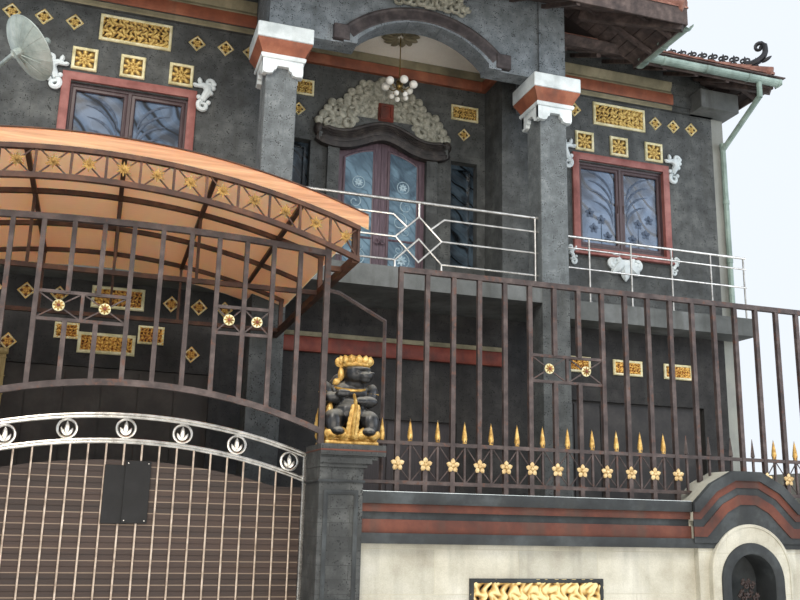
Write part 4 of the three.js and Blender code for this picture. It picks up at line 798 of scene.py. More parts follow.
MAIN_UNDER, CENTRE_UNDER, BOARD_PITCH = 7.80, 7.70, 0.14
boards = [board_ring(eave_path(inset, 1.96), inset, MAIN_UNDER)
          for inset in np.arange(0.004, 0.84, BOARD_PITCH)]
boards += [board_ring(centre_eave_path(inset, 0), inset, CENTRE_UNDER)
           for inset in np.arange(0.004, 1.1, BOARD_PITCH)]
piece("soffit boards", boards, soffit_wood)

RAFTER_DEEP = 0.06
main_top, centre_top = MAIN_UNDER - 0.045, CENTRE_UNDER - 0.045


def rafter(foot, head, place, half, axis):
    """A sloping stick whose top runs between two (across, height) points, half to each side of place."""
    (a, low), (b, high) = foot, head
    return prism([(a, low), (b, high), (b, high - RAFTER_DEEP), (a, low - RAFTER_DEEP)], place - half,
                 place + half, axis)


sticks = [rafter((y0, main_top), (y1, main_top + abs(y1 - y0) * SLOPE), x, 0.03, "x")
          for x in np.arange(-5.2, 5.3, 0.52) if abs(x) > 2
          for y0, y1 in ((ROOF_FRONT + 0.02, -0.09), (ROOF_BACK - 0.02, 8))]
for side in (-1, 1):
    sticks += [rafter((side * (ROOF_HALF - 0.02), main_top), (side * 5.2, main_top + 0.23 * SLOPE), y, 0.03,
                      "y")
               for y in np.arange(-0.5, 8.3, 0.52)]
    sticks += [rafter((side * (CENTRE_HALF - 0.02), centre_top), (side * 1.94, centre_top + 1.16 * SLOPE), y,
                      0.025, "y")
               for y in np.arange(CENTRE_FRONT + 0.3, -0.9, 0.45)]
    for corner, inner, under in (((side * 5.43, ROOF_FRONT + 0.02), (side * 4.75, -0.17), MAIN_UNDER),
                                 ((side * 3.1, CENTRE_FRONT + 0.02), (side * 2.17, -1.12), CENTRE_UNDER)):
        climb = (abs(corner[0]) - abs(inner[0])) * SLOPE
        start, end = np.array([*corner, under - 0.08]), np.array([*inner, under - 0.08 + climb])
        upright = np.cross(np.cross(end - start, [0, 0, 1]), end - start)
        sticks.append(carry([(-0.045, -0.07), (0.045, -0.07), (0.045, 0.07), (-0.045, 0.07)], [start, end],
                            upright / np.linalg.norm(upright)))
sticks += [rafter((CENTRE_FRONT + 0.02, centre_top), (-1.11, CENTRE_UNDER + 0.425), x, 0.025, "x")
           for x in np.arange(-1.6, 1.7, 0.46)]
fascia = [(-0.004, 7.72), (0.018, 7.72), (0.018, 7.95), (-0.004, 7.95)]
sticks += [carry(fascia, path, UP) for path in (eave_path(0, 3.13), centre_eave_path(0, -0.1))]
piece("rafters and fascia boards", sticks, soffit_wood)

# %% Gutter sockets
GUTTER_R, GUTTER_TOP, SIDE_GUTTER_TOP = 0.076, 7.80, 7.69
half_ring = [(GUTTER_R * cos(a), GUTTER_R * sin(a)) for a in np.linspace(pi, 2 * pi, 10)]
rings = []
for side in (-1, 1):
    for x in (3.55, 4.25, 4.95, 5.47):
        path = [(side * x, ROOF_FRONT - GUTTER_R + a, GUTTER_TOP + b) for a, b in half_ring]
        rings.append(tube(path, 0.011, 6, (1, 0, 0), squash=2.2))
    for y in (-1.95, -1.45, -1):
        path = [(side * (CENTRE_HALF + GUTTER_R) + a, y, SIDE_GUTTER_TOP + b) for a, b in half_ring]
        rings.append(tube(path, 0.011, 6, (0, 1, 0), squash=2.2))
    for z in (7.1, 6.2, 5.3):
        rings.append(turned([(0.047, -0.03), (0.047, 0.03)], (side * 5.14, -0.06, z), 12))
piece("gutter sockets", rings, gutter_paint)
beam_end = block((4.60, -0.33, 7.53), (5.26, 0.2, 7.83), 0.01)
piece("boxed beam end under the right eave", beam_end, concrete)

# %% [markdown]
# ## Gilt panels, diamonds and white scrolls on the wings
# Over each casement sit a long panel and three square ones, with a row of small diamonds beside them. Each
# is a cream frame, one moulded profile carried round a rectangle, with a carved height field inside it.

# %% Framed carving
FRAME_PROFILE = [(-0.004, 0), (-0.004, 0.02), (0.008, 0.032), (0.022, 0.03), (0.032, 0.022), (0.032, 0)]
SCROLL_STEP, FLOWER_STEP, CARVING_DEEP = 0.0048, 0.006, 0.024
WINDOW_X = 3.40


def framed(centre, width, height, wall_y=0, turn=0, frame_scale=1, petals=0, seed=0, cells=2.6):
    """(frame, carving) on the wall at wall_y: a rectangle about centre (x, z), turned in its plane by turn.
    The carving is a flower where petals are given, and scrollwork otherwise."""
    along = np.array([cos(turn), 0, sin(turn)])
    up = np.array([-sin(turn), 0, cos(turn)])
    middle = np.array([centre[0], wall_y, centre[1]])
    w, h = width / 2 - 0.03 * frame_scale, height / 2 - 0.03 * frame_scale
    corners = [middle + a * w * along + b * h * up for a, b in ((-1, -1), (-1, 1), (1, 1), (1, -1))]
    edge = carry(np.array(FRAME_PROFILE) * frame_scale, corners, loop=True)
    if petals:
        heights = rosette(int(2 * h / FLOWER_STEP), petals)
    else:
        heights = scrollwork(int(2 * h / SCROLL_STEP), int(2 * w / SCROLL_STEP), w / h * cells, cells, seed)
    corner = middle - w * along - h * up
    return edge, height_field(heights, corner, 2 * w * along, 2 * h * up, np.array([0, -CARVING_DEEP, 0]))


def diamond(x, z, size, wall_y=0, frame_scale=0.5):
    """A small square panel stood on its corner, with a flower of four petals."""
    return framed((x, z), size, size, wall_y, pi / 4, frame_scale, petals=4)


def hang(panels, frame_name, carving_name, carving_finish):
    """Makes two pieces of a row of panels: all the cream frames, and all the carvings."""
    edges, fields = map(list, zip(*panels))
    piece(frame_name, edges, cream_frame)
    piece(carving_name, fields, carving_finish, crisp=60)


panels = []
for side in (-1, 1):
    panels.append(framed((side * WINDOW_X, 7.30), 0.91, 0.40, seed=side + 1.3))
    panels += [framed((side * 3.39 + dx, 6.835), 0.345, 0.345, petals=8) for dx in (-0.57, -0.01, 0.57)]
panels += [diamond(x, 7.30, 0.178, frame_scale=0.55)
           for x in (-4.83, -4.47, -4.12, -2.66, -2.30, -1.98, 2.06, 2.67, 4.01, 4.32, 4.63)]
for side in (-1, 1):
    panels.append(framed((side * 1.22, 7.25), 0.46, 0.27, 0.6, seed=0.4 * side, frame_scale=0.8))
    panels.append(diamond(side * 1.21, 6.92, 0.16, 0.6))
hang(panels, "cream panel frames", "gilt carvings", gilt)

# %% White corner scrolls
def corner_scroll(x, z, side, s=1):
    """A white S beside a surround's corner, s times its size: a horn on the frame, a curled top with lobes
    and a curled foot."""
    y = -0.032
    body = np.array([(-0.01, 0.1), (0.07, 0.115), (0.13, 0.09), (0.135, 0.03), (0.1, -0.03),
                     (0.075, -0.09)]) * s
    path = in_plane(x + side * body[:, 0], y, z + body[:, 1])
    parts = [tube(path, 0.04 * s, 8, squash=0.9, scale=[0.6, 0.9, 1.2, 1.35, 1.1, 0.9]),
             volute((x + side * 0.15 * s, y, z + 0.155 * s), 0.058 * s, 1.15, -pi / 2, side, 0.52, 0.9),
             volute((x + side * 0.09 * s, y, z - 0.16 * s), 0.074 * s, 1.15, pi / 2, side, 0.48, 0.9),
             leaf((x + side * 0.05 * s, y, z + 0.12 * s), pi / 2 + side * 0.5, 0.1 * s, 0.06 * s, -0.6 * side,
                  0.5),
             leaf((x + side * 0.02 * s, y, z + 0.09 * s), pi / 2 + side * 1.2, 0.08 * s, 0.06 * s, 0, 0.5)]
    parts += [egg((x + side * a * s, y, z + b * s), (0.032 * s, 0.03, 0.032 * s))
              for a, b in ((0.2, 0.09), (0.205, 0.15), (0.175, 0.02), (0.03, -0.05), (0.15, -0.11))]
    return joined(*parts)


scrolls = []
for middle in (-WINDOW_X, WINDOW_X):
    for side in (-1, 1):
        scrolls.append(corner_scroll(middle + side * 0.78, 6.62, side))
        scrolls.append(corner_scroll(middle + side * 0.75, 5.13, side, 0.62))
    scrolls += [volute((middle + side * 0.19, -0.035, 5.08), 0.11, 1.1, pi / 2, side, 0.5, 0.8)
                for side in (-1, 1)]
    scrolls += [egg((middle + side * 0.19, -0.035, 5.08), (0.05, 0.034, 0.05)) for side in (-1, 1)]
    scrolls += [leaf((middle, -0.035, 5.13), -pi / 2 + bend, 0.31, 0.17, thick=0.4)
                for bend in (-0.8, 0, 0.8)]
piece("white window scrolls", scrolls, white_paint)

# %% [markdown]
# ## Ribs of the dish
# The dish turns its back to the street. Pressed ribs run from its hub to the rim, the rim is rolled, and
# three braces hold its lower half. A rib follows the bowl, whose depth grows with the radius squared.

# %% Dish ribs, rim and braces
DISH_HUB, DISH_FACING = np.array([-4.53, -1.2, 6.224]), np.array([0.69, 0.316, 0.651])
DISH_RADIUS, DISH_DEEP, DISH_RIBS = 0.35, 0.112, 16
facing = DISH_FACING / np.linalg.norm(DISH_FACING)
across = np.cross(facing, [0, 0, 1]) / np.linalg.norm(np.cross(facing, [0, 0, 1]))
downward = np.cross(facing, across)
brace_end = DISH_HUB - facing * 0.06


def outward(angle):
    """The way from the hub to the rim: across times cosine and downward times sine of the angle."""
    return across * cos(angle) + downward * sin(angle)


def on_bowl(angle, radius, lift):
    """A place on the bowl's back: hub + facing x (depth - lift) + radius x outward."""
    radius = np.asarray(radius, float)[..., None]
    return DISH_HUB + facing * (DISH_DEEP * (radius / DISH_RADIUS) ** 2 - lift) + radius * outward(angle)


dish_parts = [tube(on_bowl(a, np.linspace(0.03, 0.345, 10), 0.013), 0.003, 6, np.cross(facing, outward(a)))
              for a in 2 * pi * np.arange(DISH_RIBS) / DISH_RIBS]
rim = [on_bowl(a, DISH_RADIUS, 0.007) for a in np.linspace(0, 2 * pi, 49)[:-1]]
dish_parts.append(tube(np.array(rim), 0.008, 8, facing, loop=True))
dish_parts += [rod(brace_end, on_bowl(pi / 2 + lean, 0.25, 0.014), 0.007) for lean in (-0.6, 0, 0.6)]
dish_parts.append(turned([(0, 0), (0.05, 0), (0.05, 0.05), (0, 0.05)], brace_end, 12, facing))
piece("dish ribs and braces", dish_parts, dish_metal)

# %% [markdown]
# ## Cornice bands
# Under the wings' eaves and round the recess run painted mouldings: a beige cavetto, a brick-orange flat
# band that stands proud, and a beige bead below. Each band is its own profile carried along the wall.

# %% Painted mouldings under the eaves
def straight(profile, y, *spans):
    """A profile of (outwards, z) carried along the wall face at y, once for each span of x."""
    return joined(*[carry(profile, [(x0, y, 0), (x1, y, 0)], UP) for x0, x1 in spans])


upper_bead = [(0, 7.775), (0.075, 7.775), (0.08, 7.8), (0.055, 7.84), (0.09, 7.9), (0.1, 7.968), (0, 7.968)]
orange_band = [(0, 7.602), (0.106, 7.602), (0.112, 7.62), (0.112, 7.75), (0.102, 7.77), (0, 7.77)]
lower_bead = [(0, 7.532), (0.055, 7.532), (0.075, 7.55), (0.07, 7.598), (0, 7.598)]
for profile, finish, word in ((upper_bead, beige_paint, "upper"), (orange_band, brick_paint, "orange"),
                              (lower_bead, beige_paint, "lower")):
    piece(word + " cornice band", straight(profile, 0, (-4.995, -1.945), (1.945, 4.27)), finish)
recess_walk = [(-1.54, -0.8, 0), (-1.54, 0.6, 0), (1.54, 0.6, 0), (1.54, -0.8, 0)]
for profile, finish, word in (
        ([(0, 7.78), (0.05, 7.78), (0.07, 7.895), (0, 7.895)], beige_paint, "beige"),
        ([(0, 7.62), (0.06, 7.62), (0.075, 7.64), (0.075, 7.76), (0, 7.775)], brick_paint, "orange")):
    piece(word + " recess band", carry(profile, recess_walk, UP), finish)

# %% [markdown]
# ## Columns
# Each column is a pale stone shaft on a stepped foot under a painted capital: a white slab, an orange
# cavetto that draws in below it, a white bead, and four white brackets with a stepped notch in the middle
# through which the stone shows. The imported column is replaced, so the notch is really cut.

# %% Shafts and capitals
COLUMN_X, COLUMN_HALF, COLUMN_Y, BRACKET_FOOT = 1.75, 0.185, -0.915, 6.485


def square_moulding(profile, x, y, half, deep=None):
    """A profile of (outwards, z) carried round a column half to each side, and deep to front and back."""
    deep = deep or half
    ring = [(x - half, y - deep, 0), (x + half, y - deep, 0), (x + half, y + deep, 0),
            (x - half, y + deep, 0)]
    return carry(profile, ring, UP, loop=True)


def bracket_side(x, y, half, facing):
    """One notched bracket board, 50 mm thick, on one side of the shaft: a bar and two stepped legs."""
    w = half + 0.052
    leg = [(0.064, 0.106), (w, 0.106), (w, 0.03), (w - 0.02, 0.006), (w - 0.075, 0), (0.118, 0.012),
           (0.1, 0.05), (0.078, 0.06)]
    bar = [(w, 0.19), (w, 0.105), (-w, 0.105), (-w, 0.19)]
    if facing[0]:
        axis, sign, middle, face, proud = "x", facing[0], y, x, 0.052
    else:
        axis, sign, middle, face, proud = "y", facing[1], x, y, 0.053
    return joined(*[prism([(middle + a, BRACKET_FOOT + b) for a, b in part], face + sign * half * 0.98,
                          face + sign * (half + proud), axis)
                    for part in (bar, leg, [(-a, b) for a, b in leg[::-1]])])


foot = [(-0.02, 0.12), (0.058, 0.12), (0.058, 0.4), (0.04, 0.43), (0.04, 0.48), (0.012, 0.52), (-0.02, 0.52)]
bead = [(-0.02, 6.672), (0.066, 6.672), (0.078, 6.69), (0.078, 6.715), (0.06, 6.732), (-0.02, 6.732)]
cavetto = [(-0.02, 6.73), (0.062, 6.73), (0.075, 6.76), (0.1, 6.81), (0.132, 6.86), (0.135, 6.884),
           (-0.02, 6.884)]
for side, word in SIDES:
    x, y, h = side * COLUMN_X, COLUMN_Y, COLUMN_HALF
    shaft = block((x - h, y - h, 4.36), (x + h, y + h, 6.9), 0.008)
    low = joined(block((x - h, y - h, 0.5), (x + h, y + h, 4.362), 0.004), square_moulding(foot, x, y, h))
    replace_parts(piece(word + " column shaft", shaft, pale_stone), word + "_column")
    piece(word + " column lower shaft", low, dark_stone)
    white = [bracket_side(x, y, h, facing) for facing in ((0, -1), (0, 1), (-1, 0), (1, 0))]
    white.append(square_moulding(bead, x, y, h))
    white.append(block((x - h - 0.143, y - h - 0.143, 6.885), (x + h + 0.143, y + h + 0.143, 7.078), 0.008))
    piece(word + " capital white work", white, white_paint)
    piece(word + " capital orange cavetto", square_moulding(cavetto, x, y, h), brick_paint)

# %% [markdown]
# ## The arch and its carving
# The arch band over the balcony is darker stone with a groove along it and ends in square blocks. Cream
# cloud carving grows from its crown.

# %% Arch band
ARCH_HALF, ARCH_SPRING, ARCH_RISE = 1.03, 7.28, 0.43
arch_radius = (ARCH_HALF ** 2 + ARCH_RISE ** 2) / (2 * ARCH_RISE)
swing = np.linspace(-1, 1, 41) * np.arcsin(ARCH_HALF / arch_radius)
arch_path = in_plane(arch_radius * np.sin(swing), -1.06,
                    ARCH_SPRING + ARCH_RISE - arch_radius + arch_radius * np.cos(swing))
band = [(-0.004, 0), (-0.004, 0.05), (0.02, 0.058), (0.04, 0.05), (0.05, 0.052), (0.14, 0.05), (0.155, 0.056),
        (0.17, 0.048), (0.17, 0)]
feet = [block((side * 1.06 - 0.1, -1.125, 7.1), (side * 1.06 + 0.1, -1.04, 7.3), 0.01) for side in (-1, 1)]
piece("arch band", joined(carry(band, arch_path), *feet), head_stone)


# %% Cloud carving
def cloud(centre, width, height, wall_y, tiers, seed, depth=0.05):
    """Carved clouds in rising tiers: volutes and leaves that shrink to the edges, mirrored left and right."""
    rng = np.random.default_rng(seed)
    parts = []
    for tier in range(tiers):
        level = tier / tiers
        reach = width / 2 * (1 - level ** 1.4)
        count = max(2, int(reach / (width / 2) * 4.6) + 1)
        for number in range(count):
            across = reach * (number + 0.5) / count
            size = width * 0.085 * (1 - 0.35 * level) * rng.uniform(0.85, 1.15)
            z = centre[1] + height * level * 0.86 + size * 0.6 - 0.12 * height * (number / count) ** 2
            for side in (-1, 1):
                x = centre[0] + side * across
                y = wall_y - depth * (0.7 + 0.5 * (number % 2))
                parts.append(volute((x, y, z), size, 1.15, pi / 2 + side * 0.5, side, 0.34, 1.1, 14, 6))
                for lean in (0.15, 0.75, 1.35):
                    heading = pi / 2 - side * lean
                    parts.append(leaf((x + side * size * 0.5, y + 0.01, z + size * 0.3), heading, size * 1.5,
                                      size * 0.8, side * 0.5, 0.45, 6, 6))
    return joined(*parts)


piece("arch crown carving", cloud((0.06, 7.76), 0.95, 0.42, -1.075, 3, 5), carved_stone,
      crisp=60)

# %% [markdown]
# ## The balcony door
# The door has two leaves under a curved head. Stone steps out round it in three orders; above sits a dark
# moulded head like a drawn bow, and on it a mass of carved leaves round a small red plaque.

# %% Door leaves
DOOR_Y, ETCH_Y, LEAF_HALF, LEAF_SPRING, LEAF_TOP = 0.65, 0.628, 0.64, 6.45, 6.70
PANE_IN, PANE_OUT, MOULDING_Y = 0.11, 0.53, DOOR_Y - 0.012
leaf_radius = (LEAF_HALF ** 2 + (LEAF_TOP - LEAF_SPRING) ** 2) / (2 * (LEAF_TOP - LEAF_SPRING))


def door_head(x, drop=0):
    """Height of the curved door head at x: the arc of leaf_radius whose top is LEAF_TOP - drop."""
    return LEAF_TOP - drop - leaf_radius + np.sqrt(leaf_radius ** 2 - np.asarray(x) ** 2)


moulding = [(-0.016, 0), (-0.016, 0.012), (0, 0.02), (0.014, 0.012), (0.014, 0)]
trims, panes = [], []
for side in (-1, 1):
    across = np.linspace(PANE_IN, PANE_OUT, 14)
    head = np.column_stack([side * across, door_head(across, 0.2)])
    outline = [(side * PANE_OUT, 4.5), (side * PANE_IN, 4.5), *head]
    panes.append(prism(outline, DOOR_Y - 0.02, DOOR_Y + 0.002))
    trims.append(carry(moulding, [(x, MOULDING_Y, z) for x, z in outline], loop=True))
    trims.append(carry(moulding, [(side * x, MOULDING_Y, 5.22) for x in (PANE_IN, PANE_OUT)]))
    trims.append(volute((side * 0.05, DOOR_Y - 0.03, 5.18), 0.05, 0.8, pi / 2, side, 0.24, 1, 12, 6))
piece("door mouldings", trims, door_wood)
piece("etched door panes", panes, door_glass)
etched = []
for side in (-1, 1):
    middle = side * (PANE_IN + PANE_OUT) / 2
    for z, reach in ((6, 0.085), (4.95, 0.11)):
        x_z = circle(24, reach).T
        etched.append(tube(in_plane(middle + x_z[0], ETCH_Y, z + x_z[1]), 0.006, 6, loop=True))
        etched.append(flower((middle, ETCH_Y, z), reach * 0.7, 8, 0.12))
    for z, reach, hand in ((5.72, 0.1, side), (5.5, 0.13, -side), (5.36, 0.08, side), (4.72, 0.12, side),
                           (5.1, 0.07, -side)):
        etched.append(volute((middle + hand * 0.05, ETCH_Y, z), reach, 1.2, pi / 2, hand, 0.07, 1))
piece("etched door rosettes", etched, frosting)

# %% Door head moulding
head_x = np.linspace(-0.95, 0.95, 61)
bow = 6.46 + 0.23 * np.exp(-(head_x / 0.42) ** 2) + 0.1 * (abs(head_x) / 0.95) ** 4
head_path = in_plane(head_x, 0.6, bow)
head_profile = [(-0.17, 0), (-0.17, 0.14), (-0.15, 0.158), (-0.128, 0.15), (-0.118, 0.13), (-0.095, 0.137),
                (-0.085, 0.122), (-0.06, 0.132), (-0.05, 0.12), (-0.02, 0.13), (0.01, 0.12), (0.02, 0.132),
                (0.06, 0.128), (0.09, 0.118), (0.09, 0)]
ends = np.interp(np.arange(61), [0, 3, 57, 60], [0.72, 1, 1, 0.72])
knobs = [egg((side * 0.93, 0.56, 6.66), (0.07, 0.085, 0.09)) for side in (-1, 1)]
bow_head = joined(carry(head_profile, head_path, scale=ends), *knobs)
piece("bowed door head", bow_head, door_head_stone)


def lobes(x, y, z, size, side):
    """One cluster of the crown: a fat curled volute with four rounded lobes fanned out round it."""
    parts = [volute((x, y - 0.02, z), size * 0.6, 1.1, pi / 2, side, 0.5, 0.8, 16, 8)]
    for lean in (-1.2, -0.3, 0.6, 1.5):
        a = pi / 2 - side * lean
        parts.append(egg((x + size * 0.85 * cos(a), y, z + size * 0.85 * sin(a)),
                         (size * 0.42, 0.04, size * 0.42), 8, 12))
    return joined(*parts)


CROWN_ROWS = [(6.82, 0.155, (0.26, 0.54, 0.8)), (7, 0.155, (0.24, 0.48, 0.68)), (7.17, 0.15, (0.16, 0.42)),
              (7.32, 0.14, (0.11, 0.27)), (7.42, 0.13, (0,))]
crown_back = [(-0.84, 6.7), (0.84, 6.7), (0.5, 7.14), (0.2, 7.44), (-0.2, 7.44), (-0.5, 7.14)]
crown_parts = [prism(crown_back, 0.52, 0.598)]
crown_parts += [lobes(side * x, 0.55 - 0.03 * (number % 2), z - 0.06 * (x / 0.9) ** 2, size, side)
               for z, size, row in CROWN_ROWS for number, x in enumerate(row) for side in (-1, 1)]
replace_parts(piece("door crown carving", crown_parts, carved_stone, crisp=60), "door_crown")
plaque_edge = carry(FRAME_PROFILE, rectangle(-0.09, 0.09, 6.9, 7.13, 0.475), loop=True)
plaque = joined(block((-0.11, 0.47, 6.88), (0.11, 0.56, 7.15), 0.01), plaque_edge)
piece("crown plaque", plaque, red_paint)

# %% [markdown]
# ## Casement windows
# A terracotta surround stands out from the stone. In it sits a dark fixed frame with two dark red-brown
# leaves, whose stiles meet in the middle. Etched sprays and flowers lie on the panes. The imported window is
# replaced; its glass stays.

# %% Surround, frame and leaves
WINDOW_Z, OPEN_W, OPEN_H, PANE_Y = 5.895, 1.40, 1.26, 0.066
surround_profile = [(0, -0.04), (0.012, -0.04), (0.012, 0.036), (-0.01, 0.045), (-0.075, 0.045),
                    (-0.088, 0.036), (-0.09, 0), (0, 0)]
fixed_profile = [(0, 0), (0, 0.04), (0.034, 0.04), (0.034, 0)]
leaf_profile = [(0, 0), (0, 0.024), (0.01, 0.03), (0.042, 0.03), (0.052, 0.018), (0.052, 0)]
w, low, high = OPEN_W / 2, WINDOW_Z - OPEN_H / 2, WINDOW_Z + OPEN_H / 2
for side, word in SIDES:
    x = side * WINDOW_X
    ring = carry(surround_profile, rectangle(x - w, x + w, low - 0.03, high + 0.03, 0), loop=True)
    sill = block((x - w - 0.1, -0.075, low - 0.125), (x + w + 0.1, -0.001, low - 0.09), 0.008)
    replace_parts(piece(word + " window surround", [ring, sill], terracotta),
                "window_" + word)
    fixed = [carry(fixed_profile, rectangle(x - w, x + w, low, high, 0.07), loop=True),
             block((x - 0.022, 0.028, low + 0.01), (x + 0.022, PANE_Y, high - 0.01), 0.004)]
    piece(word + " window fixed frame", fixed, frame_wood)
    leaves = [carry(leaf_profile, rectangle(x + a, x + b, low + 0.034, high - 0.034, PANE_Y), loop=True)
              for a, b in ((-w + 0.034, -0.02), (0.02, w - 0.034))]
    handles = [rod((x + s * 0.046, 0.03, WINDOW_Z - 0.06), (x + s * 0.046, 0.03, WINDOW_Z + 0.06), 0.008)
               for s in (-1, 1)]
    piece(word + " window leaves", leaves + handles, frame_wood)
    drawn = []
    for hand in (-1, 1):
        drawn += [leaf((x + hand * 0.11, PANE_Y, WINDOW_Z + z), pi / 2 - hand * 0.15, length, 0.034,
                       -hand * 1.5, 0.15)
                  for z, length in ((0.12, 0.62), (0, 0.6), (-0.12, 0.56), (-0.24, 0.5))]
        drawn.append(tube([(x + hand * 0.3, PANE_Y, WINDOW_Z + z) for z in (-0.56, -0.2)], 0.005, 6))
        drawn += [flower((x + hand * dx, PANE_Y, WINDOW_Z + dz), 0.075, 5, 0.1)
                  for dx, dz in ((0.3, -0.18), (0.42, -0.32), (0.2, -0.42), (0.48, -0.1))]
    piece(word + " window etching", drawn, dark_etching)

# %% [markdown]
# ## Railings
# Polished tube, 32 mm on top and 25 mm below. The balcony's lower rails bend into a double diamond in the
# middle. Each rail is a tube along its own bent line, so the corners are mitred as the fitter cut them.

# %% Balcony and wing railings
RAIL_Y, RAIL_HALF, GAP, WING_RAIL_Y, BALCONY_FLOOR = -1, 1.565, 0.29, -0.38, 4.36
RAIL_TOP, RAIL_MIDDLE, RAIL_LOW = 5.03, 4.755, 4.47


def foot_plate(x, y):
    """The round plate that a post stands on, with its small cone."""
    return turned([(0.032, 0), (0.032, 0.012), (0.018, 0.016)], (x, y, BALCONY_FLOOR), 14)


rail_lines = [[(-RAIL_HALF, RAIL_TOP), (-GAP - 0.03, RAIL_TOP), (-0.15, 4.89)],
              [(RAIL_HALF, RAIL_TOP), (GAP + 0.03, RAIL_TOP), (0.15, 4.89)],
              [(-RAIL_HALF, RAIL_MIDDLE), (-GAP, RAIL_MIDDLE), (0, RAIL_LOW), (GAP, RAIL_MIDDLE),
               (RAIL_HALF, RAIL_MIDDLE)],
              [(-GAP, RAIL_MIDDLE), (0, RAIL_TOP), (GAP, RAIL_MIDDLE)], [(0, RAIL_TOP), (0, 5.2)],
              [(-RAIL_HALF, RAIL_LOW), (-GAP, RAIL_LOW), (0, RAIL_MIDDLE), (GAP, RAIL_LOW),
               (RAIL_HALF, RAIL_LOW)],
              [(-GAP, RAIL_LOW), (-GAP, BALCONY_FLOOR)], [(GAP, RAIL_LOW), (GAP, BALCONY_FLOOR)]]
bars = [tube([(x, RAIL_Y, z) for x, z in line], 0.0125, 8) for line in rail_lines]
bars.append(rod((-RAIL_HALF, RAIL_Y, 5.21), (RAIL_HALF, RAIL_Y, 5.21), 0.02, 12))
post_x = RAIL_HALF - 0.04
bars += [rod((x, RAIL_Y, BALCONY_FLOOR), (x, RAIL_Y, 5.2), 0.015) for x in (-post_x, post_x)]
bars += [foot_plate(x, RAIL_Y) for x in (-post_x, -GAP, GAP, post_x)]
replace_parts(piece("balcony railing tubes", bars, stainless), "balcony_railing")
wing = [rod((1.965, WING_RAIL_Y, z), (5.14, WING_RAIL_Y, z), radius, 10)
        for z, radius in ((5.25, 0.018), (5.09, 0.0135), (4.82, 0.0135), (4.56, 0.0135))]
for x in (1.995, 2.635, 3.275, 3.915, 4.555, 5.11):
    wing += [rod((x, WING_RAIL_Y, BALCONY_FLOOR), (x, WING_RAIL_Y, 5.25), 0.0135), foot_plate(x, WING_RAIL_Y)]
for word, mirror in (("right", 1), ("left", -1)):
    tubes = scaled(joined(*wing), (mirror, 1, 1))
    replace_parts(piece(word + " wing railing tubes", tubes, stainless), "wing_railing_" + word)

# %% [markdown]
# ## Chandelier and ceiling rose
# A thin brass stem drops from a plaster rose of two rings of leaves to six curved arms with opal globes.

# %% Chandelier
LAMP_Y, LAMP_Z, ARM_REACH = -0.1, 7.15, 0.19
bowl = np.array([0, LAMP_Y, LAMP_Z])
arms = [rod((0, LAMP_Y, 7.13), (0, LAMP_Y, 7.86), 0.008), egg(bowl, (0.045, 0.045, 0.06)),
        turned([(0.05, 0), (0.03, 0.04), (0.012, 0.06)], (0, LAMP_Y, 7.2), 14)]
globes = []
t = np.linspace(0, 1, 10)[:, None]
for number in range(6):
    a = 2 * pi * (number + 0.5) / 6
    out = np.array([cos(a), sin(a), 0])
    path = bowl + ARM_REACH * t * out + np.array([0, 0, 1]) * (0.06 * t - 0.09 * np.sin(pi * t))
    tip = bowl + ARM_REACH * out
    arms += [tube(path, 0.007, 6, np.cross(out, [0, 0, 1])),
             turned([(0.012, 0.02), (0.034, 0.045), (0.03, 0.05)], tip, 12)]
    globes.append(egg(tip + [0, 0, 0.005], (0.058, 0.058, 0.056), 9, 14))
for number in range(5):
    a = 2 * pi * (number + 0.2) / 5
    tip = np.array([0.1 * cos(a), LAMP_Y + 0.1 * sin(a), 7.02])
    arms.append(rod((0, LAMP_Y, 7.12), tip, 0.006, 6))
    globes.append(egg(tip - [0, 0, 0.02], (0.036, 0.036, 0.036), 8, 12))
piece("chandelier arms", arms, brass)
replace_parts(piece("chandelier globes", globes, lamp_glass), "chandelier")
rose = [leaf((0.07 * cos(a), 0, 0.07 * sin(a)), a, 0.2, 0.1, 0.7, 0.3) for a in np.arange(12) * pi / 6]
rose += [leaf((0.04 * cos(a), 0, 0.04 * sin(a)), a, 0.14, 0.07, -0.6, 0.5)
         for a in np.arange(8) * pi / 4 + 0.2]
rose = joined(*rose)
flat_rose = (rose[0][:, [0, 2, 1]] + [0, LAMP_Y, 7.862],) + rose[1:]
piece("ceiling rose leaves", flat_rose, beige_paint, crisp=60)

# %% [markdown]
# ## The carport canopy
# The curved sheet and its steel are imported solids. What the street sees besides is the row of cast flowers,
# one on each crossing of the front truss, the dark bead with rivets along the sheet's front edge, and the
# grille's four rosettes below. They sit on the arcs that the solids follow.

# %% Flowers and bead on the canopy's front
CANOPY_X, SHEET_R, SHEET_TOP, CANOPY_FRONT = -3.54, 5.69, 4.13, -4.40
TRUSS_LEFT, TRUSS_RIGHT, CELLS = -5.14, -1.64, 15


def arc_z(top, radius, x, middle=CANOPY_X):
    """Height of an arc at x: top - radius + sqrt(radius squared - (x - middle) squared)."""
    return top - radius + np.sqrt(radius ** 2 - (np.asarray(x) - middle) ** 2)


cell_x = TRUSS_LEFT + (TRUSS_RIGHT - TRUSS_LEFT) * (np.arange(CELLS) + 0.5) / CELLS
cell_z = (arc_z(4.02, SHEET_R, cell_x) + arc_z(3.815, SHEET_R * 0.9, cell_x)) / 2 - 0.02


def cast_star(centre, radius, points, thick=0.3):
    """Pointed petals, long and short by turns, round a raised bead."""
    parts = [leaf(centre, number * pi / points + pi / 2, radius * (0.72 if number % 2 else 1),
                  radius * 1.5 / points, thick=thick, steps=6) for number in range(points * 2)]
    return joined(*parts, egg((centre[0], centre[1] - radius * 0.1, centre[2]), (radius * 0.24,) * 3, 5, 8))


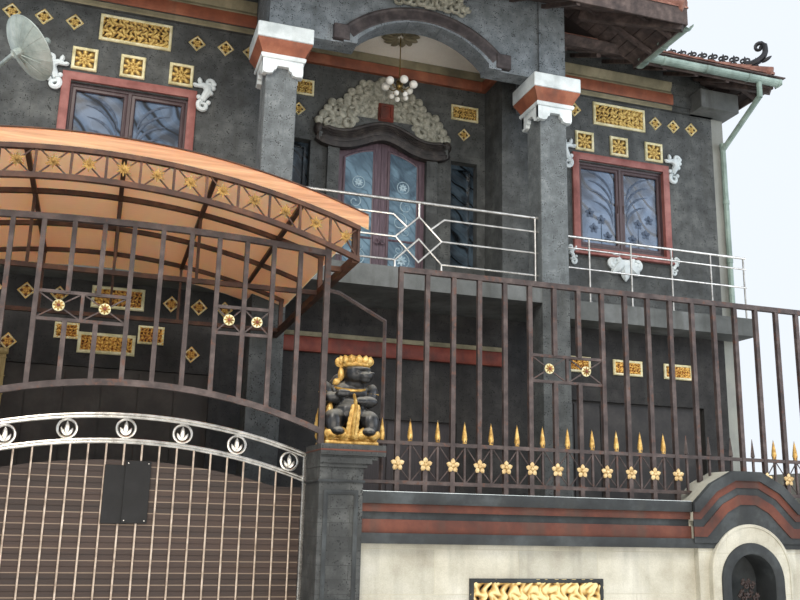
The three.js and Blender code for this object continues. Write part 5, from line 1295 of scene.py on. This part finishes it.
blooms = [cast_star((x, CANOPY_FRONT - 0.006, z), 0.058, 6) for x, z in zip(cell_x, cell_z)]
piece("truss flowers", blooms, old_gold, crisp=60)
edge_x = np.linspace(-5.175, -1.585, 49)
edge_path = in_plane(edge_x, CANOPY_FRONT - 0.004, arc_z(SHEET_TOP + 0.002, SHEET_R, edge_x))
piece("canopy edge bead", tube(edge_path, 0.007, 6), truss_steel)

# %% Rosettes of the grille
GRILLE_FIRST, GRILLE_PITCH, GRILLE_Y, FENCE_LEFT, FENCE_PITCH = -1.805, 0.209, -4.02, -1.15, 0.232
rosettes, discs, hearts = [], [], []


def boss(x, y, z, size):
    """A cream disc with eight gold petals and a red heart, in front of a crossed pair of bars."""
    disc = [(0, 0), (size, 0), (size * 1.06, 0.005), (size, 0.011), (0, 0.014)]
    discs.append(turned(disc, (x, y, z), 18, STREETWARD))
    rosettes.append(flower((x, y - 0.012, z), size * 0.95, 8, 0.3))
    hearts.append(egg((x, y - 0.02, z), (size * 0.3, 0.008, size * 0.3), 6, 10))


for bay in (9.25, 7.75, 3.5, 2.5):
    boss(GRILLE_FIRST - bay * GRILLE_PITCH, GRILLE_Y - 0.008, 2.955, 0.04)
for cell in (5.75, 7.25):
    boss(FENCE_LEFT + cell * FENCE_PITCH, -3.908, 2.8, 0.042)
piece("cream boss discs", discs, cream_frame)
piece("red boss hearts", hearts, red_paint)
piece("boss petals", rosettes, old_gold, crisp=60)

# %% [markdown]
# ## The sliding gate
# Two pairs of thin stainless tubes arch over the gate, with seven ring medallions between them, and
# rain-stained rods run down in front of the slats. Two blank black plates hang on the rods. All of it rides
# on the gate.

# %% Gate tubes, rods and medallions
GATE_LEFT, GATE_RIGHT, GATE_Y, GATE_TOP, GATE_R = -4.60, -1.78, -3.58, 2.27, 4.15
MEDALLION_PITCH, ROD_SPACES = 0.418, 22
gate_x = (GATE_LEFT + GATE_RIGHT) / 2


def gate_arc(drop, x):
    """Height of the gate's arch at x, drop below its top line."""
    return arc_z(GATE_TOP - drop, GATE_R, x, gate_x)


gate_line = np.linspace(GATE_LEFT + 0.012, GATE_RIGHT - 0.012, 41)
gate_parts = [tube(in_plane(gate_line, GATE_Y, gate_arc(drop, gate_line)), 0.0115)
              for drop in (0.012, 0.034, 0.202, 0.222)]
medallion = circle(24, 0.068)
for number in range(-3, 4):
    x = gate_x + number * MEDALLION_PITCH
    z = float(gate_arc(0.118, x))
    ring = in_plane(x + medallion[:, 0], GATE_Y, z + medallion[:, 1])
    gate_parts += [tube(ring, 0.0105, 7, loop=True),
                   leaf((x, GATE_Y, z - 0.05), pi / 2, 0.105, 0.036, thick=0.3)]
    gate_parts += [leaf((x, GATE_Y, z - 0.052), pi / 2 - side * 0.9, 0.072, 0.026, side * 0.7, 0.3)
                   for side in (-1, 1)]
    gate_parts += [rod((x, GATE_Y, z + 0.07 * s), (x, GATE_Y, z + 0.088 * s), 0.006, 6) for s in (-1, 1)]
for x in (GATE_LEFT + 0.025, GATE_RIGHT - 0.025):
    top = float(gate_arc(0.02, x))
    gate_parts.append(block((x - 0.022, GATE_Y - 0.022, 0.07), (x + 0.022, GATE_Y + 0.022, top), 0.005))
gate_parts.append(block((GATE_LEFT + 0.003, GATE_Y - 0.024, 0.072),
                        (GATE_RIGHT - 0.003, GATE_Y + 0.024, 0.118), 0.005))
wheel = [(0.014, -0.014), (0.041, -0.014), (0.041, -0.006), (0.032, 0), (0.041, 0.006), (0.041, 0.014),
         (0.014, 0.014)]
for x in (GATE_LEFT + 0.35, GATE_RIGHT - 0.35):
    gate_parts += [turned(wheel, (x, GATE_Y, 0.062), 24, STREETWARD),
                   block((x - 0.068, GATE_Y - 0.016, 0.06), (x + 0.068, GATE_Y + 0.016, 0.09), 0.003)]
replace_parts(piece("gate tubes and medallions", gate_parts, stainless, body="gate"), "gate_frame")
rod_x = GATE_LEFT + (GATE_RIGHT - GATE_LEFT) * np.arange(1, ROD_SPACES) / ROD_SPACES
gate_rods = [rod((x, GATE_Y, 0.11), (x, GATE_Y, z), 0.0075) for x, z in zip(rod_x, gate_arc(0.222, rod_x))]
gate_rods.append(rod((GATE_LEFT + 0.03, GATE_Y + 0.004, 0.5), (GATE_RIGHT - 0.03, GATE_Y + 0.004, 0.5), 0.005,
                     6))
piece("gate rods", gate_rods, rod_steel, body="gate")
plates = [block((gate_x - 0.125, GATE_Y - 0.015, 1.455), (gate_x + 0.06, GATE_Y - 0.007, 1.88), 0.002),
          block((gate_x + 0.02, GATE_Y - 0.025, 1.46), (gate_x + 0.205, GATE_Y - 0.016, 1.915), 0.002)]
bolts = [egg((gate_x + x, GATE_Y - 0.026, z), (0.006, 0.004, 0.006), 5, 8) for x in (0.04, 0.185)
         for z in (1.48, 1.895)]
piece("blank sign plates", plates, black_plate, body="gate")
piece("sign bolts", bolts, stainless, body="gate")

# %% [markdown]
# ## Posts and their guardians
# Each gate post is built of small stone blocks with a framed field on every side. On top crouches a temple
# guardian with an ape's face: the black body is a cluster of ellipsoids fused by a voxel remesh, as a carver
# rounds one form into the next, and the crown, ears, sash and lotus base are gold and added afterwards.

# %% Framed fields of the posts
POST_HALF, POST_DEEP, STREET_Y, POST_TOP = 0.167, 0.225, -3.90, 2.07


field_profile = [(-0.016, 0), (-0.016, 0.008), (0, 0.014), (0.016, 0.008), (0.016, 0)]
astragal = np.array([(-0.01, 0), (0.01, 0), (0.014, 0.01), (0.01, 0.02), (-0.01, 0.02)])
red_line = [(-0.01, 2.02), (0.001, 2.02), (0.0025, 2.026), (0.001, 2.032), (-0.01, 2.032)]
fields, cap_lines = [], []
for x, outer in ((-1.648, 1), (-4.745, -1)):
    for facing in (-1, 1):
        y = STREET_Y + facing * (POST_DEEP - 0.002)
        corners = rectangle(x - 0.115, x + 0.115, 0.95, 1.72, y)
        fields.append(carry(field_profile, corners, (0, facing, 0), loop=True))
    fields += [square_moulding(astragal + [0, z], x, STREET_Y, POST_HALF, POST_DEEP) for z in (1.79, 0.86)]
    cap_lines.append(square_moulding(red_line, x + outer * 0.081, STREET_Y, POST_HALF + 0.084,
                                     POST_DEEP + 0.03))
piece("post fields", fields, trim_stone)
piece("red lines on the post caps", cap_lines, wall_red)


# %% A guardian
def eggs(rows):
    """Ellipsoids from rows of centre and radii."""
    return [egg(row[:3], row[3:]) for row in rows]


def guardian_body():
    """Ellipsoids and tapered limbs of a crouching ape that looks sideways, one hand on its chest."""
    parts = eggs([(0, 0.03, 0.33, 0.125, 0.1, 0.17), (0, -0.05, 0.255, 0.12, 0.1, 0.105),
                  (0, 0, 0.42, 0.145, 0.09, 0.085), (-0.03, 0.09, 0.34, 0.13, 0.06, 0.25),
                  (0.03, -0.03, 0.485, 0.08, 0.07, 0.055), (0.035, -0.05, 0.56, 0.092, 0.092, 0.09),
                  (0.092, -0.12, 0.535, 0.058, 0.052, 0.036), (0.088, -0.115, 0.503, 0.046, 0.044, 0.022),
                  (0.066, -0.125, 0.59, 0.066, 0.034, 0.018), (0.128, -0.155, 0.556, 0.02, 0.015, 0.013),
                  (-0.13, -0.08, 0.36, 0.075, 0.05, 0.045), (-0.075, -0.135, 0.39, 0.052, 0.036, 0.034),
                  (0.115, -0.095, 0.34, 0.08, 0.052, 0.045), (0.05, -0.145, 0.335, 0.045, 0.034, 0.034)])
    for side in (-1, 1):
        parts.append(egg((side * 0.16, -0.01, 0.395), (0.055, 0.06, 0.1), spin=side * 0.15))
        parts += eggs([(side * 0.125, -0.09, 0.185, 0.08, 0.1, 0.09),
                       (side * 0.135, -0.15, 0.165, 0.058, 0.048, 0.095),
                       (side * 0.11, -0.165, 0.1, 0.052, 0.06, 0.032),
                       (0.066 + side * 0.038, -0.125, 0.565, 0.026, 0.02, 0.02)])
    parts += [rod((-0.115 + 0.024 * k, -0.16, 0.37), (-0.105 + 0.022 * k, -0.162, 0.415), 0.011, 6)
              for k in range(4)]
    parts += [rod((0.02 + 0.02 * k, -0.175, 0.32), (0.03 + 0.018 * k, -0.168, 0.355), 0.01, 6)
              for k in range(4)]
    return joined(*parts)


def guardian_gold():
    """Crown with ear flaps, necklace, wide sash, a wing of flames on one side and a lotus base, all gold."""
    parts = [block((-0.19, -0.155, 0), (0.19, 0.155, 0.035), 0.008),
             block((-0.18, -0.145, 0.035), (0.18, 0.145, 0.06), 0.005)]
    for x in np.linspace(-0.15, 0.15, 5):
        parts += [leaf((x, y, 0.035), pi / 2, 0.1, 0.1, thick=0.34) for y in (-0.152, 0.148)]
    for y in np.linspace(-0.1, 0.1, 4):
        parts += [leaf((x, y, 0.035), pi / 2, 0.1, 0.05, thick=0.6) for x in (-0.178, 0.178)]
    cap = [(0, -0.004), (0.1, 0), (0.108, 0.012), (0.102, 0.028), (0.085, 0.05), (0.05, 0.07), (0, 0.078)]
    parts.append(turned(cap, (0.035, -0.04, 0.612)))
    parts += [leaf((0.035 + 0.092 * sin(a), -0.04 - 0.092 * cos(a), 0.625), pi / 2 - 0.35 * sin(a), 0.075,
                   0.055, 0, 0.45)
              for a in np.linspace(-2.4, 2.4, 11)]
    parts += eggs([(0.02, 0, 0.68, 0.06, 0.055, 0.035), (0.09, -0.1, 0.65, 0.04, 0.03, 0.022)])
    ear_x, ear_disc = -0.078, [(0, -0.01), (0.034, -0.008), (0.042, 0), (0.034, 0.008), (0, 0.01)]
    parts += [turned(ear_disc, (ear_x, -0.045, 0.645), 16, STREETWARD),
              egg((ear_x, -0.055, 0.645), (0.018, 0.012, 0.022)),
              leaf((ear_x, -0.05, 0.61), -pi / 2 + 0.2, 0.12, 0.05, -0.5, 0.4),
              leaf((ear_x - 0.005, -0.05, 0.52), -pi / 2 - 0.5, 0.07, 0.05, -0.6, 0.4)]
    parts += [turned([(0.05, -0.008), (0.058, 0), (0.05, 0.008)], (side * 0.163, -0.01, 0.41), 14)
              for side in (-1, 1)]
    neck = [(0.11 * cos(a), -0.02 - 0.085 * sin(a), 0.452 - 0.03 * sin(a))
            for a in np.linspace(0.1, pi - 0.1, 14)]
    parts.append(tube(neck, 0.012, 6, (0, -0.37, -0.93)))
    sash = [(0.008 * sin(6 * t), -0.158 - 0.03 * sin(pi * t), 0.385 - 0.33 * t)
            for t in np.linspace(0, 1, 17)]
    width = np.interp(np.arange(17), [0, 4, 6, 16], [0.55, 0.8, 1, 1.25]) * np.tile([1, 1.1], 9)[:17]
    parts += [carry(circle(8, 0.034, 0.45), sash, (1, 0, 0), scale=width),
              carry(circle(10, 0.036, 0.4)[:, ::-1], sash[4:], (1, 0, 0), scale=width[4:])]
    flames = ((-0.185, 0.04, 0.2), (-0.178, 0.1, 0.2), (-0.17, 0.17, 0.17), (-0.16, 0.23, 0.14))
    for k, (x, z, long) in enumerate(flames):
        parts += [leaf((x, 0.012 * k, z), pi / 2 + 0.22, long, 0.085 - 0.008 * k, -0.5, 0.5),
                  leaf((x + 0.012, -0.07, z - 0.01), pi / 2 + 0.1, long * 0.8, 0.05, -0.35, 0.5)]
    return joined(*parts)


GROWN = (1.1, 1.05, 1)
eyes = joined(*[egg((0.073 + side * 0.037, -0.158, 0.568), (0.009, 0.006, 0.007), 6, 10) for side in (-1, 1)])
guardian = (scaled(guardian_body(), GROWN), scaled(guardian_gold(), GROWN), eyes)
for word, x, mirror in (("right", -1.558, 1), ("left", -4.835, -1)):
    body_shape, gold_shape, eye_shape = (shifted(scaled(shape, (mirror, 1, 1)), (x, STREET_Y, POST_TOP))
                                         for shape in guardian)
    figure = piece(word + " guardian body", body_shape, black_paint)
    fuse = figure.modifiers.new("fused carving", "REMESH")
    fuse.mode, fuse.voxel_size, fuse.use_smooth_shade = "VOXEL", 0.008, True
    soften = figure.modifiers.new("rubbed surface", "SMOOTH")
    soften.iterations, soften.factor = 3, 0.5
    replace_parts(figure, "guardian_" + word)
    piece(word + " guardian gold", gold_shape, gold_paint, crisp=60)
    piece(word + " guardian eyes", eye_shape, post_stone)

# %% [markdown]
# ## The street wall
# Cream plaster below, then painted mouldings: a dark ledge, two dull red bands with a dark groove between
# them and a dark coping. Each is a profile carried along the wall; over the niche the same bands climb as a
# small gable. A dark ring edges the niche, and carved leaves fill it.

# %% Mouldings along the wall
WALL_FACE, GABLE_Y = -4.03, -4.125
WALL_RUNS = ((-1.478, 1.385), (2.485, 5.198))
lower_red = [(0, 1.428), (0.058, 1.428), (0.064, 1.45), (0.064, 1.512), (0.058, 1.533), (0, 1.533)]
groove = [(0, 1.53), (0.029, 1.53), (0.029, 1.59), (0, 1.59)]
upper_red = [(0, 1.588), (0.054, 1.588), (0.059, 1.62), (0.054, 1.652), (0, 1.652)]
coping = [(0, 1.648), (0.083, 1.648), (0.09, 1.67), (0.088, 1.727), (0.083, 1.737), (0, 1.738)]
gable = [(x, GABLE_Y, z) for x, z in ((1.385, 1.65), (1.43, 1.65), (1.61, 1.82), (1.81, 1.92), (2.06, 1.92),
                                      (2.26, 1.82), (2.44, 1.65), (2.485, 1.65))]
# each row: name, finish, profile on the wall, and its band on the gable from low to high, back and front
for word, finish, profile, (low, high, back, front) in (
        ("lower red band", wall_red, lower_red, (0.12, 0.2, 0, 0.012)),
        ("dark groove", trim_stone, groove, (0.06, 0.12, 0, 0.004)),
        ("upper red band", wall_red, upper_red, (0, 0.06, 0, 0.012)),
        ("dark coping", trim_stone, coping, (-0.08, 0, -0.02, 0.03))):
    slanted = carry([(low, back), (low, front), (high, front), (high, back)], gable)
    band = joined(straight(profile, WALL_FACE, *WALL_RUNS), slanted)
    piece("wall " + word, band, finish)
ledge = [(0, 1.357), (0.079, 1.357), (0.084, 1.39), (0.079, 1.434), (0, 1.434)]
gable_field = [(1.39, 1.40), (2.48, 1.40), (2.48, 1.64), (2.44, 1.64), (2.26, 1.81), (2.06, 1.91),
               (1.81, 1.91), (1.61, 1.81), (1.43, 1.64), (1.39, 1.64)]
dark_parts = joined(straight(ledge, WALL_FACE, (-1.478, 5.198)),
                    prism(gable_field, GABLE_Y - 0.002, GABLE_Y + 0.01))
piece("wall dark ledge and gable field", dark_parts, trim_stone)
# a white strip along the coping's top front edge is a painted highlight
coping_highlight = [(0.066, 1.732), (0.084, 1.732), (0.084, 1.7385), (0.066, 1.7385)]
piece("painted highlight on the coping's edge", straight(coping_highlight, WALL_FACE, *WALL_RUNS), white_paint)

# %% Niche ring, niche carving and the long relief
NICHE_X, NICHE_R, NICHE_FOOT, NICHE_SPRING, COLLAR_R, COLLAR_MID = 1.935, 0.23, 0.42, 1.094, 0.40, 1.158
NICHE_FRONT, NICHE_INNER = -4.14, 0.222


def arch_line(radius, centre, y):
    """Up one side, over half a circle and down the other, round the niche's centre line."""
    turns = np.linspace(0, pi, 25)
    bow = in_plane(NICHE_X + radius * np.cos(turns), y, centre + radius * np.sin(turns))
    return np.vstack([[(NICHE_X + radius, y, NICHE_FOOT)], bow, [(NICHE_X - radius, y, NICHE_FOOT)]])


ring_profile = [(-0.008, -0.254), (-0.008, 0.006), (0.004, 0.014), (0.05, 0.018), (0.078, 0.014), (0.084, 0),
                (0.084, -0.01), (-0.001, -0.02), (-0.001, -0.254)]
collar_profile = [(-0.026, -0.004), (-0.022, 0.008), (-0.006, 0.01), (0.002, 0.004), (0.002, -0.02),
                  (-0.026, -0.02)]
niche_ring = carry(ring_profile, arch_line(NICHE_R, NICHE_SPRING, NICHE_FRONT))
piece("dark niche ring", niche_ring, trim_stone)
collar = carry(collar_profile, arch_line(COLLAR_R, COLLAR_MID, NICHE_FRONT))
piece("cream niche collar", collar, cream_plaster)
back_wall = [(NICHE_X + NICHE_INNER * cos(a), NICHE_SPRING + NICHE_INNER * sin(a))
             for a in np.linspace(0, pi, 21)]
back_wall += [(NICHE_X + side * NICHE_INNER, NICHE_FOOT + 0.004) for side in (-1, 1)]
piece("dark niche back", prism(back_wall, -3.894, -3.884), trim_stone)
piece("niche carving", cloud((NICHE_X, 0.46), 0.44, 0.82, -4.02, 7, 21), carved_brown,
      crisp=60)
relief_edge, relief_field = framed((-0.01, 0.83), 1.2, 0.6, WALL_FACE, seed=2.4, frame_scale=0.9, cells=3.4)
piece("village relief frame", relief_edge, trim_stone)
piece("village relief", relief_field, stone_relief, crisp=60)

# %% [markdown]
# ## Fence trim
# A cast flower sits on every bar between the two low rails. Thin rods run from it to the rails, and a gold
# spear tip stands on the upper rail between every two bars. The gable breaks the row.

# %% Spear tips, braces and flowers
FLOWER_Z, SPEAR_Z, FENCE_END = 1.957, 2.125, 5.12
spear_profile = [(0, 0), (0.016, 0.012), (0.023, 0.045), (0.018, 0.09), (0.009, 0.145), (0, 0.19)]
collar_ring = [(0.012, 0), (0.02, 0.008), (0.012, 0.016)]
tips, small_flowers, braces = [], [], []
for number in range(-1, 27):
    x = FENCE_LEFT + FENCE_PITCH * number
    spear = x + FENCE_PITCH * 0.46
    if abs(spear - NICHE_X) > 0.5 and spear < FENCE_END:
        tips.append(turned(spear_profile, (spear, STREET_Y, SPEAR_Z), 10))
        tips.append(turned(collar_ring, (spear, STREET_Y, SPEAR_Z + 0.005), 10))
    if abs(x - NICHE_X) > 0.36 and FENCE_LEFT <= x < 5.1:
        small_flowers.append(flower((x, STREET_Y - 0.024, FLOWER_Z), 0.058, 5, 0.3))
        braces += [rod((x, STREET_Y, FLOWER_Z), (end, STREET_Y, z), 0.0055, 6)
                   for end in (x - 0.11, x + 0.11) for z in (1.828, 2.108)
                   if abs(end - NICHE_X) > 0.45 and FENCE_LEFT < end < FENCE_END]
piece("gold spear tips", tips, gold_paint)
piece("fence braces", braces, rusty_steel)
stay = [tube([(-1.272, -3.885, 1.74), (-1.272, -3.885, 3.086), (-1.671, -3.94, 3.27), (-1.79, -3.99, 3.275)],
             0.016, 4)]
stay += [block((-1.48, -3.915, z), (-1.14, -3.885, z + 0.03), 0.003) for z in (1.8, 2.105)]
piece("stay between fence and post", stay, rusty_steel)
piece("fence flowers", small_flowers, cream_gold, crisp=60)

# %% [markdown]
# ## The ground storey behind the carport
# Behind the gate the wall carries more gilt panels and diamonds, a painted band over the entrance and a
# rolled-down bamboo blind at the far left.

# %% Panels, bands and blind of the ground storey
panels = [framed((-3.31, 3.93), 0.64, 0.31, seed=0.7), framed((-3.39, 3.39), 0.68, 0.29, seed=1.9),
          framed((-3.83, 3.51), 0.3, 0.22, seed=3.1, frame_scale=0.7),
          framed((-2.91, 3.53), 0.33, 0.25, seed=4.2, frame_scale=0.7)]
diamonds = ((-4.64, 3.94), (-4.30, 3.93), (-3.95, 3.92), (-2.71, 3.92), (-2.39, 3.91), (-2.09, 3.91),
            (-4.43, 3.34), (-2.44, 3.34))
panels += [diamond(x, z, 0.165) for x, z in diamonds]
panels += [framed((x, 3.6), 0.5, 0.26, seed=x, frame_scale=0.9) for x in (3.4, 2.6, 4.2)]
hang(panels, "ground panel frames", "ground gilt carvings", gilt_red)
beige_band = [(0, 3.665), (0.08, 3.665), (0.09, 3.685), (0.08, 3.72), (0, 3.725)]
red_band = [(0, 3.478), (0.066, 3.478), (0.078, 3.5), (0.078, 3.64), (0.064, 3.662), (0, 3.662)]
for word, finish, profile in (("beige", beige_paint, beige_band), ("red", red_paint, red_band)):
    piece(word + " band over the entrance", straight(profile, 0, (-1.545, 1.545)), finish)
slip_x = np.linspace(-4.72, -4.42, 61)
slip_y = -0.06 - 0.004 * np.abs(np.sin(np.arange(61) * pi / 4))
slips = np.stack([np.column_stack([slip_x, slip_y, np.full(61, z)]) for z in np.linspace(1.9, 3.2, 14)])
blind = joined(net(slips), net(slips[:, ::-1] + [0, 0.006, 0]),
               *[tube([(-4.73, -0.066, z), (-4.41, -0.066, z)], 0.006, 6)
                 for z in np.linspace(1.95, 3.15, 7)],
               rod((-4.74, -0.075, 3.22), (-4.40, -0.075, 3.22), 0.035, 12))
piece("bamboo blind", blind, bamboo)

# %% [markdown]
# ## Floor, light and camera
# The floor is plain and pale. The light is a wide soft source high on the street side, a weaker fill, and a
# low one that stands for the light thrown back by the street. The camera stands where the picture's
# vanishing points put it.

# %% Floor and soft light
floor_mesh = bpy.data.meshes.new("studio floor")
floor_mesh.from_pydata([(-60, -60, 0), (60, -60, 0), (60, 60, 0), (-60, 60, 0)], [], [(0, 1, 2, 3)])
studio_floor = bpy.data.objects.new("studio floor", floor_mesh)
scene.collection.objects.link(studio_floor)
floor_finish, floor_tree, _ = new_material("pale studio floor")
floor_shader = floor_tree.nodes["Principled BSDF"]
floor_shader.inputs["Base Color"].default_value = linear("#dcdad5")
floor_shader.inputs["Roughness"].default_value = 0.9
floor_mesh.materials.append(floor_finish)


def soft_light(name, place, target, size, power, colour="#ffffff"):
    """A square area light at place, aimed at target."""
    lamp = bpy.data.lights.new(name, "AREA")
    lamp.size = size
    lamp.energy = power
    lamp.color = linear(colour)[:3]
    holder = bpy.data.objects.new(name, lamp)
    holder.location = place
    holder.rotation_euler = (Vector(target) - Vector(place)).to_track_quat("-Z", "Y").to_euler()
    scene.collection.objects.link(holder)


soft_light("key light", (-9, -17, 17), (0, 0, 4), 7, 3000, "#fff6e8")
soft_light("fill light", (14, -14, 8), (0, 0, 5), 10, 1150, "#eaf2ff")
soft_light("bounce from the paving", (-2, -14, 0.5), (-1, -1, 5.2), 8, 1050, "#fff3e4")
soft_light("back light", (0, 22, 16), (0, 4, 5), 12, 2600)
scene.world = scene.world or bpy.data.worlds.new("studio")
scene.world.use_nodes = True
sky = scene.world.node_tree.nodes["Background"]
sky.inputs["Color"].default_value = linear("#e9f0f8")
sky.inputs["Strength"].default_value = 1.1
scene.view_settings.view_transform = "Standard"

# %% The camera at the picture's viewpoint
YAW, PITCH, ROLL = radians(17.958), radians(13.349), radians(1.358)
ahead = Vector((sin(YAW) * cos(PITCH), cos(YAW) * cos(PITCH), sin(PITCH)))
level = Vector((cos(YAW), -sin(YAW), 0))
above = level.cross(ahead)
right = level * cos(ROLL) + above * sin(ROLL)
up = above * cos(ROLL) - level * sin(ROLL)
lens = bpy.data.cameras.new("street camera")
lens.lens, lens.sensor_width = 41.18, 36
viewer = bpy.data.objects.new("street camera", lens)
turn = Matrix((right, up, -ahead)).transposed().to_4x4()
viewer.matrix_world = Matrix.Translation((-3.39, -10.8, 1.55)) @ turn
scene.collection.objects.link(viewer)
scene.camera = viewer
print("camera at", [round(c, 2) for c in viewer.matrix_world.translation], "lens", round(lens.lens, 2), "mm")
